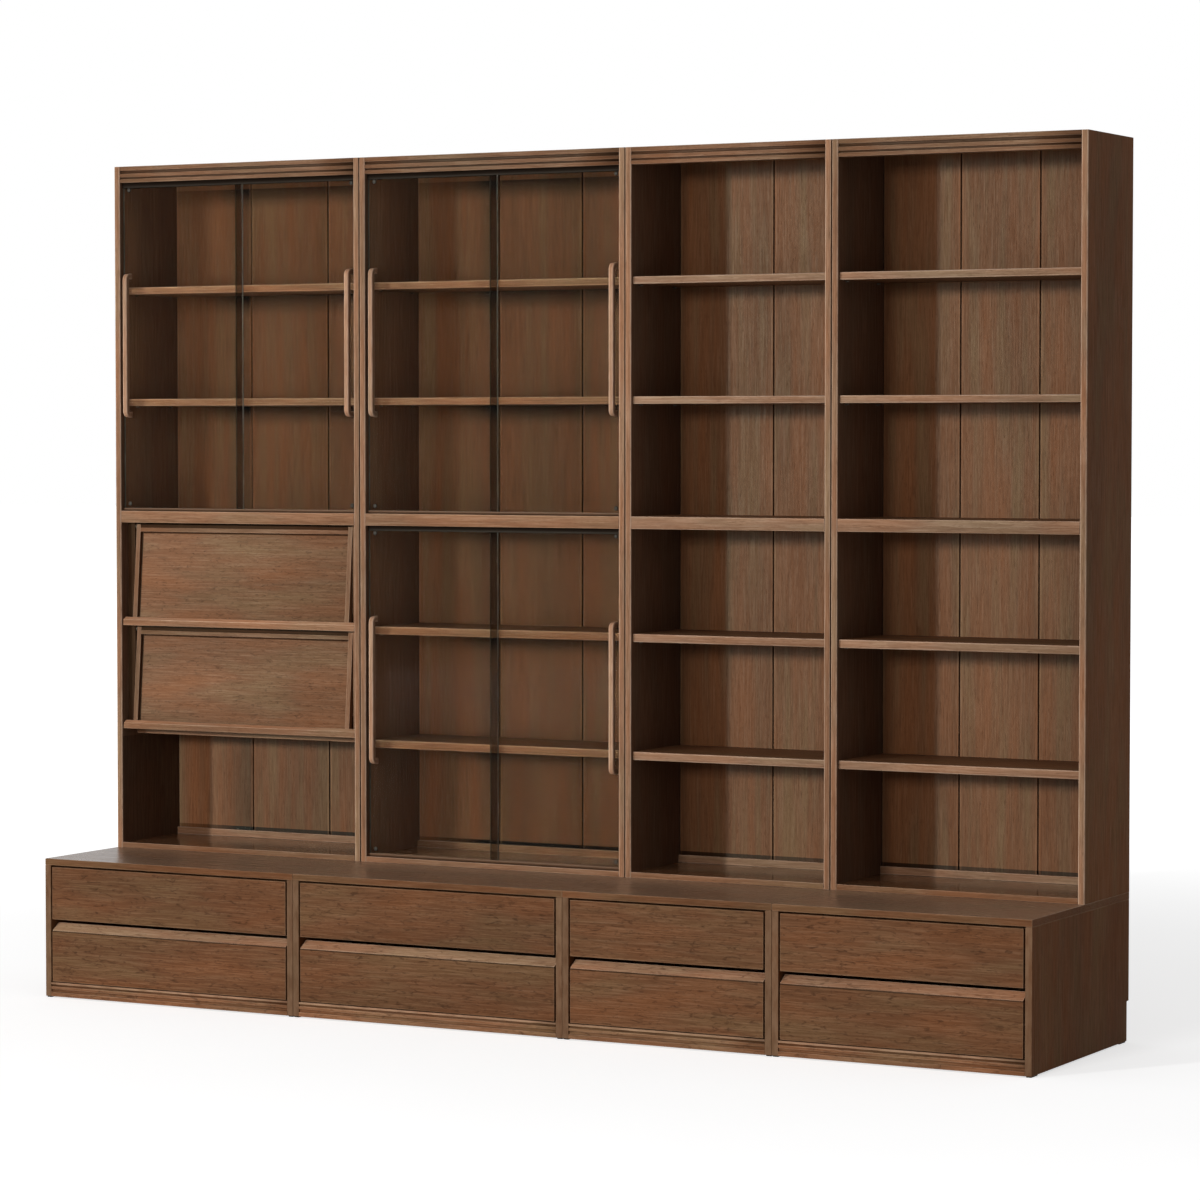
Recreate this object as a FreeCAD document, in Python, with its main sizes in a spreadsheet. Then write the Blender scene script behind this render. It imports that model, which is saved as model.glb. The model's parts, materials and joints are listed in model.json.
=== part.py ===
"""Bookcase of four joined units: a deep base of drawers carries shallower shelving above it.

The origin is the middle of the footprint on the floor. +X runs to the right along the
bookcase, +Y from the front to the wall and +Z up. All sizes are millimetres.
"""
import FreeCAD, Part
import os
import re

import Sketcher

doc = FreeCAD.newDocument("bookcase")

# Each size: alias, value, what it is.
SIZES = [
    # Overall
    ("width_1", 800, "width of unit 1, at the left"),
    ("width_2", 810, "width of unit 2"),
    ("width_3", 590, "width of unit 3"),
    ("width_4", 690, "width of unit 4, at the right"),
    ("seam", 0.6, "gap between neighbouring units"),
    ("board", 18, "thickness of the side boards, tops and plinths"),
    ("arris", 2, "chamfer along the visible edges of boards"),
    # Base
    ("base_depth", 650, "depth of the base"),
    ("base_height", 380, "height of the base, with its top"),
    ("foot_height", 3, "pads that keep the sides off the floor"),
    ("foot_length", 40, "length of a pad"),
    ("foot_inset", 4, "from the front or the wall notch to a pad"),
    ("notch_height", 104, "cut-out of the sides for the wall's skirting"),
    ("notch_depth", 13, "depth of that cut-out"),
    ("base_back_inset", 15, "from the rear edge to the base's back panel"),
    ("base_back_board", 6, "thickness of the base's back panel"),
    ("bottom_board", 15, "thickness of the base's bottom board"),
    ("plinth_top", 42, "height of the plinth's upper edge"),
    ("bottom_drop", 2, "from the plinth's upper edge to the bottom board"),
    ("plinth_middle", 23, "foot of the strip between the grooves"),
    ("plinth_upper", 36, "foot of the upper strip of the plinth"),
    ("groove_depth", 4, "depth of the grooves in cornice and plinth"),
    ("groove_wide", 8, "width of the wider groove"),
    ("groove_narrow", 5, "width of the narrower groove"),
    # Drawers
    ("front_gap", 4.5, "shadow gap beside and above the drawer fronts"),
    ("front_board", 20, "thickness of the drawer fronts"),
    ("lower_front_foot", 44, "lower edge of the lower drawer front"),
    ("lower_front_arris", 184, "front arris of the lower drawer front"),
    ("pull_rise", 20, "rise of the sloping finger pull behind the arris"),
    ("pull_depth", 31, "depth of the finger pull"),
    ("pull_lip", 13, "thickness of the finger pull's lip at its back"),
    ("finger_gap", 10, "from the finger pull's back to the upper front"),
    ("drawer_board", 12, "thickness of the drawer boxes' boards"),
    ("drawer_floor", 6, "thickness of a drawer's floor"),
    ("drawer_floor_rise", 6, "from a box's lower edge to its floor"),
    ("drawer_height", 100, "height of a drawer box"),
    ("drawer_length", 560, "length of a drawer box"),
    ("drawer_lift", 12, "from a front's lower edge to its box"),
    ("drawer_gap", 2, "from a drawer box to the side boards"),
    ("runner_height", 14, "height of a runner"),
    ("runner_width", 9, "how far a runner stands off the side board"),
    ("runner_rise", 50, "from a box's lower edge to its runner"),
    ("runner_gap", 0.3, "clearance between a runner and its groove"),
    ("runner_setback", 22, "from a drawer front's back to its runners"),
    # Upper part
    ("hutch_depth", 310, "depth of the shelving"),
    ("hutch_height", 1900, "height of the shelving above the base"),
    ("back_inset", 20, "from the rear edge to the back boards"),
    ("back_board", 12, "thickness of the back boards"),
    ("back_arris", 2.5, "chamfer along the joints of the back boards"),
    ("floor_board", 15, "thickness of the shelving's floor board"),
    ("strip_height", 20, "strip along the foot of the back boards"),
    ("strip_board", 8, "thickness of that strip"),
    ("cornice_height", 45, "height of the cornice"),
    ("cornice_depth", 36, "depth of the cornice"),
    ("cornice_top_land", 12, "plain strip at the top of the cornice"),
    ("cornice_foot_land", 10, "plain strip at the foot of the cornice"),
    ("mid_top", 943, "top of the middle shelf above the base"),
    ("mid_board", 33, "thickness of the middle shelf"),
    ("shelf_top_1", 1566, "top of the first shelf above the base"),
    ("shelf_top_2", 1255, "top of the second shelf above the base"),
    ("shelf_top_3", 637, "top of the third shelf above the base"),
    ("shelf_top_4", 329, "top of the fourth shelf above the base"),
    ("shelf_board", 20, "thickness of the first and second shelves"),
    ("low_shelf_board", 22, "thickness of the third and fourth shelves"),
    ("shelf_gap", 0.5, "from a loose shelf to a side board"),
    ("shelf_setback", 11, "from the front to the open shelves"),
    ("glazed_setback", 40, "from the front to the shelves behind glass"),
    ("pin_radius", 2.5, "radius of a shelf pin"),
    ("pin_length", 9, "how far a shelf pin stands off the side board"),
    ("pin_inset", 37, "from a shelf's edges to its pins"),
    # Sliding glass doors
    ("glass", 5, "thickness of the panes"),
    ("door_setback", 16, "from the front to the outer pane"),
    ("track_pitch", 11, "from one pane to the other, front to back"),
    ("track_play", 1, "clearance beside a pane in its groove"),
    ("track_wall", 2, "outer walls and floor of a track"),
    ("foot_track", 8, "height of the lower tracks"),
    ("head_track", 14, "height of the upper tracks"),
    ("glass_rise", 0.6, "from the floor of a track to the pane"),
    ("glass_headroom", 4, "lift above a pane in its upper track"),
    ("door_gap", 1.5, "from a closed pane to the side board"),
    ("door_overlap", 30, "how far the closed panes overlap"),
    ("handle_inset", 23, "from the side board to a handle's middle"),
    ("handle_width", 14, "width of a handle"),
    ("handle_board", 14, "thickness of a handle's bar"),
    ("handle_reach", 28, "how far a handle stands off the glass"),
    ("handle_foot", 17, "height of a handle's feet"),
    ("handle_round", 12, "radius of a handle's outer corners"),
    ("handle_length", 402, "length of a handle"),
    ("upper_handle", 1202, "foot of the upper handles above the base"),
    ("lower_handle", 265, "foot of the lower handles above the base"),
    ("button_radius", 6, "radius of the round bumpers on the glass"),
    ("button_board", 3, "thickness of those bumpers"),
    ("button_inset", 20, "from the pane's corner to a bumper's middle"),
    # Display flaps of unit 1
    ("cheek", 24, "width of the upright strips that the flaps hang between"),
    ("cheek_setback", 32, "from the front to these strips"),
    ("cheek_rise", 4, "from the underside of the lower ledge up to these strips"),
    ("flap_setback", 36, "from the front to the top of a flap's face"),
    ("flap_gap", 5, "from what is above a flap to its top edge"),
    ("flap_side_gap", 3, "from a flap's ends to the strips beside it"),
    ("flap_tilt", 4.56, "slope of a closed flap in degrees"),
    ("flap_board", 18, "thickness of a flap's frame"),
    ("flap_face_1", 260, "height of the upper flap above its ledge"),
    ("flap_face_2", 262, "height of the lower flap above its ledge"),
    ("flap_stile", 14, "width of a flap's stiles"),
    ("flap_rail", 21, "height of a flap's top rail"),
    ("flap_bevel", 10, "height of the bevel along the rail's top"),
    ("flap_bevel_depth", 4, "depth of that bevel"),
    ("flap_recess", 10, "from the frame's face to the panel's"),
    ("flap_panel", 8, "thickness of a flap's panel"),
    ("ledge_board", 24, "thickness of the ledge along a flap's foot"),
    ("ledge_reach", 10, "how far a ledge stands in front of the frame"),
    ("ledge_bevel", 8, "height of the slope along a ledge's front edge"),
    ("ledge_seat", 12, "how far a ledge runs under the frame"),
    ("ledge_side_gap", 2, "from a ledge's ends to the side boards"),
    ("pivot_inset", 6, "from a flap's face and top edge to its pivot"),
    ("pivot_radius", 3, "radius of a pivot pin"),
    ("pivot_play", 0.08, "clearance around a pivot pin"),
    ("pivot_reach", 8, "how far a pin enters the flap"),
    ("pivot_end_play", 1, "depth of a pivot's bore beyond the pin"),
    ("pivot_flange", 7, "radius of a pivot's flange"),
    ("pivot_flange_board", 2, "thickness of that flange"),
    ("flap_drop", 287, "from the upper flap's pivot to the lower one's"),
    ("stop_size", 12, "width and depth of the stop blocks"),
    ("stop_height", 40, "height of the stop blocks"),
    ("stop_drop", 180, "from a flap's pivot down to its stop blocks"),
    ("stop_gap", 0.3, "from a closed flap to its stop blocks"),
    ("hidden_shelf_board", 19, "thickness of the shelves behind the flaps"),
    ("hidden_shelf_1", 629, "top of the shelf behind the flaps' joint"),
    ("hidden_shelf_2", 335, "top of the shelf below the lower flap"),
    ("hidden_gap", 4, "from the flaps' frames to the first of these"),
    ("hidden_setback", 74, "from the front to the second of these"),
]

UNITS = (1, 2, 3, 4)
PAST_FACE = 1  # how far a cutting tool starts outside the face that it cuts
BACK_BOARDS = {1: 3, 2: 3, 3: 2, 4: 3}

sheet = doc.addObject("Spreadsheet::Sheet", "sizes")
for row, (alias, size, note) in enumerate(SIZES, start=1):
    sheet.set(f"A{row}", alias)
    sheet.set(f"B{row}", str(size))
    sheet.setAlias(f"B{row}", alias)
    sheet.set(f"C{row}", note)
doc.recompute()

ALIASES = {alias for alias, size, note in SIZES}


def on_sheet(text):
    """Write an expression out in full, with each size looked up on the sheet."""
    def full_name(match):
        word = match.group(0)
        return f"sizes.{word}" if word in ALIASES else word
    return re.sub(r"[a-z_]+[a-z_0-9]*", full_name, str(text))


def value(text):
    """The number that an expression gives now."""
    return float(sheet.evalExpression(on_sheet(text)))


def bind(item, **sizes):
    """Tie properties of an object to expressions."""
    for name, text in sizes.items():
        item.setExpression(name, on_sheet(text))


def place(item, x, y, z, turn=None):
    """Tie an object's place, and its turn about X in degrees, to expressions."""
    for axis, text in zip("xyz", (x, y, z)):
        item.setExpression(f"Placement.Base.{axis}", on_sheet(text))
    if turn is not None:
        item.setExpression("Placement.Rotation.Axis.x", "1")
        item.setExpression("Placement.Rotation.Axis.z", "0")
        item.setExpression("Placement.Rotation.Angle", on_sheet(turn))


def box(name, x, y, z, length, depth, height):
    """A plain board: its near lower left corner and its sizes along X, Y and Z."""
    board = doc.addObject("Part::Box", name)
    bind(board, Length=length, Width=depth, Height=height)
    place(board, x, y, z)
    return board


def origin_plane(body, role):
    return next(item for item in body.Origin.OriginFeatures if item.Role == role)


def profile(name, role, corners, length):
    """A body padded from a closed outline. Each corner is a pair of expressions."""
    body = doc.addObject("PartDesign::Body", name)
    sketch = body.newObject("Sketcher::SketchObject", name + "_outline")
    sketch.AttachmentSupport = (origin_plane(body, role), [""])
    sketch.MapMode = "FlatFace"
    points = [FreeCAD.Vector(value(across), value(up), 0) for across, up in corners]
    count = len(points)
    for index, point in enumerate(points):
        sketch.addGeometry(Part.LineSegment(point, points[(index + 1) % count]), False)
    for index in range(count):
        sketch.addConstraint(Sketcher.Constraint("Coincident", index, 2, (index + 1) % count, 1))
    for index, corner in enumerate(corners):
        for axis, kind, line, text in zip("xy", ("DistanceX", "DistanceY"), (-2, -1), corner):
            if text == 0:
                sketch.addConstraint(Sketcher.Constraint("PointOnObject", index, 1, line))
                continue
            rule = sketch.addConstraint(Sketcher.Constraint(kind, -1, 1, index, 1, value(text)))
            sketch.renameConstraint(rule, f"{axis}{index}")
            sketch.setExpression(f"Constraints.{axis}{index}", on_sheet(text))
    pad = body.newObject("PartDesign::Pad", name + "_pad")
    pad.Profile = sketch
    bind(pad, Length=length)
    return body


def cut(name, base, tool):
    result = doc.addObject("Part::Cut", name)
    result.Base = base
    result.Tool = tool
    return result


parts = {}


def part(label, item, solids=1):
    """Register an object as a sub-part of its own, under its file's name."""
    item.Label = label
    parts[label] = (item, solids)
    return item


def group(label, members):
    """Several separate pieces of one kind under one name."""
    together = doc.addObject("Part::Compound", label)
    together.Links = members
    return part(label, together, len(members))


# Places that several pieces share, as expressions.
LEFT_END = "-(width_1 + width_2 + width_3 + width_4) / 2"
UNIT_LEFT = {unit: " + ".join([LEFT_END] + [f"width_{left}" for left in UNITS if left < unit])
             for unit in UNITS}
OUTER_LEFT = {unit: f"{UNIT_LEFT[unit]} + seam / 2" for unit in UNITS}
OUTER_WIDTH = {unit: f"width_{unit} - seam" for unit in UNITS}
INNER_LEFT = {unit: f"{OUTER_LEFT[unit]} + board" for unit in UNITS}
INNER_WIDTH = {unit: f"({OUTER_WIDTH[unit]} - 2 * board)" for unit in UNITS}
INNER_RIGHT = {unit: f"{INNER_LEFT[unit]} + {INNER_WIDTH[unit]}" for unit in UNITS}
BASE_FRONT = "-base_depth / 2"
WALL = "base_depth / 2"
BASE_BACK = f"{WALL} - base_back_inset - base_back_board"
BOTTOM_FOOT = "plinth_top - bottom_drop - bottom_board"
UNDER_TOP = "base_height - board"
HUTCH_FRONT = f"{WALL} - hutch_depth"
HUTCH_INSIDE = "(hutch_depth - back_inset - back_board)"
BEHIND_FLAPS = "(flap_setback + flap_board + hidden_gap)"


def hutch_sides():
    """Upright boards with both front arrises chamfered. Unit 1's carry the strips for the flaps."""
    for side, start in (("left", OUTER_LEFT), ("right", INNER_RIGHT)):
        boards = []
        for unit in UNITS:
            corners = [("arris", 0), ("board - arris", 0), ("board", "arris"),
                       ("board", "hutch_depth"), (0, "hutch_depth"), (0, "arris")]
            upright = profile(f"hutch_side_{side}_{unit}", "XY_Plane", corners, "hutch_height")
            place(upright, start[unit], HUTCH_FRONT, "base_height")
            boards.append(upright)
        boards.append(flap_cheek(side))
        group(f"hutch_sides_{side}", boards)


def flap_cheek(side):
    """An upright strip between a side board and the flaps, down to behind the lower ledge."""
    top = "base_height + mid_top - mid_board"
    pivot, face_height = FLAPS[2]
    foot = f"base_height + {pivot} + pivot_inset - {face_height} - ledge_board + cheek_rise"
    x = INNER_LEFT[1] if side == "left" else f"{INNER_RIGHT[1]} - cheek"
    return box(f"flap_cheek_{side}", x, f"{HUTCH_FRONT} + cheek_setback", foot,
               "cheek", f"{BEHIND_FLAPS} - cheek_setback", f"{top} - ({foot})")


def hutch_shelf(name, unit, setback, top, thickness, gap="0"):
    """A shelf between the sides, from its setback to the back boards."""
    return box(name, f"{INNER_LEFT[unit]} + {gap}", f"{HUTCH_FRONT} + {setback}",
               f"base_height + {top} - {thickness}", f"{INNER_WIDTH[unit]} - 2 * {gap}",
               f"{HUTCH_INSIDE} - {setback}", thickness)


def loose_shelves(unit):
    """Setback, top and thickness of each shelf of a unit that lies on pins."""
    glazed = [("glazed_setback", "shelf_top_1", "shelf_board"),
              ("glazed_setback", "shelf_top_2", "shelf_board"),
              ("glazed_setback", "shelf_top_3", "low_shelf_board"),
              ("glazed_setback", "shelf_top_4", "low_shelf_board")]
    if unit == 1:
        return glazed[:2] + [(BEHIND_FLAPS, "hidden_shelf_1", "hidden_shelf_board"),
                             ("hidden_setback", "hidden_shelf_2", "hidden_shelf_board")]
    if unit == 2:
        return glazed
    return [("shelf_setback", top, thickness) for setback, top, thickness in glazed]


def hutch_shelves():
    pins = []
    for unit in UNITS:
        shelves = []
        for number, (setback, top, thickness) in enumerate(loose_shelves(unit), start=1):
            name = f"shelf_{unit}_{number}"
            shelves.append(hutch_shelf(name, unit, setback, top, thickness, "shelf_gap"))
            pins += shelf_pins(name, unit, setback, top, thickness)
        group(f"hutch_shelves_{unit}", shelves)
    group("shelf_pins", pins)


def shelf_pins(name, unit, setback, top, thickness):
    """Four round pins that stand off the sides under a shelf."""
    pins = []
    height = f"base_height + {top} - {thickness} - pin_radius"
    for side, x in (("left", INNER_LEFT[unit]), ("right", f"{INNER_RIGHT[unit]} - pin_length")):
        for end, y in (("front", f"{HUTCH_FRONT} + {setback} + pin_inset"),
                       ("back", f"{HUTCH_FRONT} + {HUTCH_INSIDE} - pin_inset")):
            pin = doc.addObject("Part::Cylinder", f"{name}_pin_{side}_{end}")
            bind(pin, Radius="pin_radius", Height="pin_length")
            place(pin, x, y, height)
            pin.setExpression("Placement.Rotation.Axis.y", "1")
            pin.setExpression("Placement.Rotation.Axis.z", "0")
            pin.setExpression("Placement.Rotation.Angle", "90")
            pins.append(pin)
    return pins


def hutch_carcass():
    """Tops, middle shelves, floors, backs, strips and cornices between the sides."""
    group("hutch_tops", [
        hutch_shelf(f"hutch_top_{unit}", unit, "cornice_depth", "hutch_height", "board")
        for unit in UNITS])
    group("hutch_middle_shelves", [
        hutch_shelf(f"hutch_middle_shelf_{unit}", unit, "0", "mid_top", "mid_board")
        for unit in UNITS])
    group("hutch_floors", [
        hutch_shelf(f"hutch_floor_{unit}", unit, "0", "floor_board", "floor_board")
        for unit in UNITS])
    group("hutch_foot_strips", [
        box(f"foot_strip_{unit}", INNER_LEFT[unit],
            f"{HUTCH_FRONT} + {HUTCH_INSIDE} - strip_board", "base_height + floor_board",
            INNER_WIDTH[unit], "strip_board", "strip_height")
        for unit in UNITS])
    backs = []
    for unit in UNITS:
        width = f"({INNER_WIDTH[unit]} / {BACK_BOARDS[unit]})"
        corners = [("back_arris", 0), (f"{width} - back_arris", 0), (width, "back_arris"),
                   (width, "back_board"), (0, "back_board"), (0, "back_arris")]
        for number in range(BACK_BOARDS[unit]):
            back = profile(f"back_board_{unit}_{number + 1}", "XY_Plane", corners, "hutch_height")
            place(back, f"{INNER_LEFT[unit]} + {number} * {width}",
                  f"{HUTCH_FRONT} + {HUTCH_INSIDE}", "base_height")
            backs.append(back)
    group("hutch_back_boards", backs)
    cornices = []
    for unit in UNITS:
        top = "cornice_height"
        shoulder = f"({top} - cornice_top_land)"
        corners = [(0, 0), ("cornice_depth", 0), ("cornice_depth", top), (0, top), (0, shoulder)]
        corners += [("groove_depth", shoulder), ("groove_depth", f"{shoulder} - groove_wide"),
                    (0, f"{shoulder} - groove_wide"),
                    (0, "cornice_foot_land + groove_narrow"),
                    ("groove_depth", "cornice_foot_land + groove_narrow"),
                    ("groove_depth", "cornice_foot_land"), (0, "cornice_foot_land")]
        cornice = profile(f"cornice_{unit}", "YZ_Plane", corners, INNER_WIDTH[unit])
        place(cornice, INNER_LEFT[unit], HUTCH_FRONT,
              "base_height + hutch_height - cornice_height")
        cornices.append(cornice)
    group("hutch_cornices", cornices)


def base_carcass():
    """Sides with a skirting notch, tops over them, bottoms, backs, plinths and feet."""
    sides = []
    feet = []
    runners = []
    for unit in UNITS:
        for side, x in (("left", OUTER_LEFT[unit]), ("right", INNER_RIGHT[unit])):
            name = f"base_side_{side}_{unit}"
            rear = "base_depth - notch_depth"
            top = f"{UNDER_TOP} - foot_height"
            corners = [(0, 0), (rear, 0), (rear, "notch_height - foot_height"),
                       ("base_depth", "notch_height - foot_height"), ("base_depth", top), (0, top)]
            upright = profile(name, "YZ_Plane", corners, "board")
            place(upright, x, BASE_FRONT, "foot_height")
            sides.append(upright)
            for end, y in (("front", f"{BASE_FRONT} + foot_inset"),
                           ("back", f"{WALL} - notch_depth - foot_inset - foot_length")):
                feet.append(box(f"{name}_foot_{end}", f"{x} + arris", y, "0",
                                "board - 2 * arris", "foot_length", "foot_height"))
            runner_x = INNER_LEFT[unit] if side == "left" else f"{INNER_RIGHT[unit]} - runner_width"
            for level in ("lower", "upper"):
                runners.append(box(f"runner_{level}_{side}_{unit}", runner_x,
                                   f"{BOX_FRONT} + runner_setback",
                                   f"{BOX_FOOT[level]} + runner_rise", "runner_width",
                                   "drawer_length - runner_setback - drawer_board",
                                   "runner_height"))
    group("base_sides", sides)
    group("base_feet", feet)
    group("drawer_runners", runners)
    group("base_tops", [
        box(f"base_top_{unit}", OUTER_LEFT[unit], BASE_FRONT, UNDER_TOP,
            OUTER_WIDTH[unit], "base_depth", "board")
        for unit in UNITS])
    group("base_bottoms", [
        box(f"base_bottom_{unit}", INNER_LEFT[unit], f"{BASE_FRONT} + board",
            BOTTOM_FOOT, INNER_WIDTH[unit],
            f"{BASE_BACK} - ({BASE_FRONT} + board)", "bottom_board")
        for unit in UNITS])
    group("base_backs", [
        box(f"base_back_{unit}", INNER_LEFT[unit], BASE_BACK, BOTTOM_FOOT,
            INNER_WIDTH[unit], "base_back_board", f"{UNDER_TOP} - ({BOTTOM_FOOT})")
        for unit in UNITS])
    plinths = []
    for unit in UNITS:
        top = "plinth_top - foot_height"
        corners = [(0, 0), ("board", 0), ("board", top), (0, top)]
        for foot, width in (("plinth_upper", "groove_narrow"), ("plinth_middle", "groove_wide")):
            corners += [(0, f"{foot} - foot_height"),
                        ("groove_depth", f"{foot} - foot_height"),
                        ("groove_depth", f"{foot} - foot_height - {width}"),
                        (0, f"{foot} - foot_height - {width}")]
        plinth = profile(f"plinth_{unit}", "YZ_Plane", corners, INNER_WIDTH[unit])
        place(plinth, INNER_LEFT[unit], BASE_FRONT, "foot_height")
        plinths.append(plinth)
    group("base_plinths", plinths)


UPPER_FRONT_FOOT = "lower_front_arris + pull_rise + finger_gap"
BOX_FRONT = f"{BASE_FRONT} + front_board"
BOX_FOOT = {"lower": "lower_front_foot + drawer_lift",
            "upper": f"{UPPER_FRONT_FOOT} + drawer_lift"}


def drawer_front(unit, level):
    """An inset front. The lower one ends in a finger pull that slopes up behind its arris."""
    name = f"drawer_front_{level}_{unit}"
    length = f"{INNER_WIDTH[unit]} - 2 * front_gap"
    if level == "lower":
        foot = "lower_front_foot"
        arris = "(lower_front_arris - lower_front_foot)"
        lip_foot = f"{arris} + pull_rise - pull_lip"
        corners = [(0, 0), ("front_board", 0),
                   ("front_board", f"{lip_foot} - (pull_depth - front_board)"),
                   ("pull_depth", lip_foot), ("pull_depth", f"{arris} + pull_rise"), (0, arris)]
    else:
        foot = UPPER_FRONT_FOOT
        top = f"{UNDER_TOP} - front_gap - ({UPPER_FRONT_FOOT})"
        corners = [(0, 0), ("front_board", 0), ("front_board", top), (0, top)]
    front = profile(name, "YZ_Plane", corners, length)
    place(front, f"{INNER_LEFT[unit]} + front_gap", BASE_FRONT, foot)
    part(name, front)


def drawer_box(unit, level):
    """Two grooved sides, a front, a back and a floor, behind a drawer front."""
    name = f"drawer_box_{level}_{unit}"
    left = f"{INNER_LEFT[unit]} + drawer_gap"
    width = f"({INNER_WIDTH[unit]} - 2 * drawer_gap)"
    foot = BOX_FOOT[level]
    groove_depth = "(runner_width - drawer_gap + runner_gap)"
    boards = []
    for side, x, groove_x in (
            ("left", left, f"{left} - {PAST_FACE}"),
            ("right", f"{left} + {width} - drawer_board", f"{left} + {width} - {groove_depth}")):
        blank = box(f"{name}_{side}_blank", x, BOX_FRONT, foot,
                    "drawer_board", "drawer_length", "drawer_height")
        groove = box(f"{name}_{side}_groove", groove_x,
                     f"{BOX_FRONT} + runner_setback - runner_gap",
                     f"{foot} + runner_rise - runner_gap", f"{groove_depth} + {PAST_FACE}",
                     "drawer_length", "runner_height + 2 * runner_gap")
        boards.append(cut(f"{name}_{side}", blank, groove))
    inner_left = f"{left} + drawer_board"
    inner_width = f"{width} - 2 * drawer_board"
    for end, y in (("front", BOX_FRONT), ("back", f"{BOX_FRONT} + drawer_length - drawer_board")):
        boards.append(box(f"{name}_{end}", inner_left, y, foot,
                          inner_width, "drawer_board", "drawer_height"))
    boards.append(box(f"{name}_floor", inner_left, f"{BOX_FRONT} + drawer_board",
                      f"{foot} + drawer_floor_rise", inner_width,
                      "drawer_length - 2 * drawer_board", "drawer_floor"))
    group(name, boards)


# Each pair of sliding doors: unit, foot and head of its opening above the base, handles' foot.
DOOR_PAIRS = {
    "upper_1": (1, "mid_top", "hutch_height - cornice_height", "upper_handle"),
    "upper_2": (2, "mid_top", "hutch_height - cornice_height", "upper_handle"),
    "lower_2": (2, "floor_board", "mid_top - mid_board", "lower_handle"),
}
TRACK_SPAN = "track_pitch + glass + 2 * track_play + 2 * track_wall"


def track(name, unit, foot, height, opens_up):
    """A strip with two grooves, open at its top or at its foot."""
    walls = ["0", "track_wall", "track_wall + glass + 2 * track_play",
             "track_wall + track_pitch", f"{TRACK_SPAN} - track_wall", TRACK_SPAN]
    floor, rim = ("track_wall", height) if opens_up else (f"{height} - track_wall", 0)
    closed = 0 if opens_up else height
    corners = [(0, closed), (0, rim), (walls[1], rim), (walls[1], floor), (walls[2], floor),
               (walls[2], rim), (walls[3], rim), (walls[3], floor), (walls[4], floor),
               (walls[4], rim), (walls[5], rim), (walls[5], closed)]
    strip = profile(name, "YZ_Plane", corners, INNER_WIDTH[unit])
    place(strip, INNER_LEFT[unit], f"{HUTCH_FRONT} + door_setback - track_play - track_wall",
          f"base_height + {foot}")
    return strip


def door_tracks():
    tracks = []
    for pair, (unit, foot, head, handle) in DOOR_PAIRS.items():
        tracks.append(track(f"foot_track_{pair}", unit, foot, "foot_track", True))
        tracks.append(track(f"head_track_{pair}", unit, f"{head} - head_track", "head_track", False))
    group("door_tracks", tracks)


def door(pair, side):
    """A frameless pane with a wooden bow handle and two round bumpers at its outer edge."""
    unit, foot, head, handle_foot = DOOR_PAIRS[pair]
    name = f"door_{pair}_{side}"
    width = f"(({INNER_WIDTH[unit]} - 2 * door_gap + door_overlap) / 2)"
    face = f"{HUTCH_FRONT} + door_setback"
    if side == "left":
        pane_x = f"{INNER_LEFT[unit]} + door_gap"
        handle_x = f"{INNER_LEFT[unit]} + handle_inset"
        button_x = f"{pane_x} + button_inset"
    else:
        face += " + track_pitch"
        pane_x = f"{INNER_RIGHT[unit]} - door_gap - {width}"
        handle_x = f"{INNER_RIGHT[unit]} - handle_inset"
        button_x = f"{INNER_RIGHT[unit]} - door_gap - button_inset"
    pane_foot = f"base_height + {foot} + track_wall + glass_rise"
    pane_head = f"base_height + {head} - track_wall - glass_headroom"
    part(f"{name}_glass", box(f"{name}_glass", pane_x, face, pane_foot,
                              width, "glass", f"{pane_head} - ({pane_foot})"))
    bow_handle(f"{name}_handle", f"{handle_x} - handle_width / 2", face,
               f"base_height + {handle_foot}")
    buttons = []
    for end, z in (("foot", f"base_height + {foot} + button_inset"),
                   ("head", f"base_height + {head} - button_inset")):
        button = doc.addObject("Part::Cylinder", f"{name}_bumper_{end}")
        bind(button, Radius="button_radius", Height="button_board")
        place(button, button_x, face, z, "90")
        buttons.append(button)
    group(f"{name}_bumpers", buttons)


def bow_handle(name, x, face, z):
    """A bar on two feet, made in one piece with rounded outer corners."""
    upper_foot = "handle_length - handle_foot"
    corners = [(0, 0), ("handle_reach", 0), ("handle_reach", "handle_foot"),
               ("handle_board", "handle_foot"), ("handle_board", upper_foot),
               ("handle_reach", upper_foot), ("handle_reach", "handle_length"),
               (0, "handle_length")]
    handle = profile(name, "YZ_Plane", corners, "handle_width")
    doc.recompute()
    pad = handle.Tip
    outer = [f"Edge{number}" for number, edge in enumerate(pad.Shape.Edges, start=1)
             if all(abs(vertex.Y) < 1e-6 for vertex in edge.Vertexes)
             and abs(edge.Vertexes[0].Z - edge.Vertexes[1].Z) < 1e-6]
    rounding = handle.newObject("PartDesign::Fillet", name + "_rounding")
    rounding.Base = (pad, outer)
    bind(rounding, Radius="handle_round")
    place(handle, x, f"{face} - handle_reach", z)
    part(name, handle)


FLAPS = {1: ("mid_top - mid_board - flap_gap - pivot_inset", "flap_face_1"),
         2: ("mid_top - mid_board - flap_gap - pivot_inset - flap_drop", "flap_face_2")}
PIVOT_Y = f"{HUTCH_FRONT} + flap_setback + pivot_inset"
FLAP_LEFT = f"({INNER_LEFT[1]} + cheek + flap_side_gap)"
FLAP_WIDTH = f"({INNER_WIDTH[1]} - 2 * (cheek + flap_side_gap))"


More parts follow.
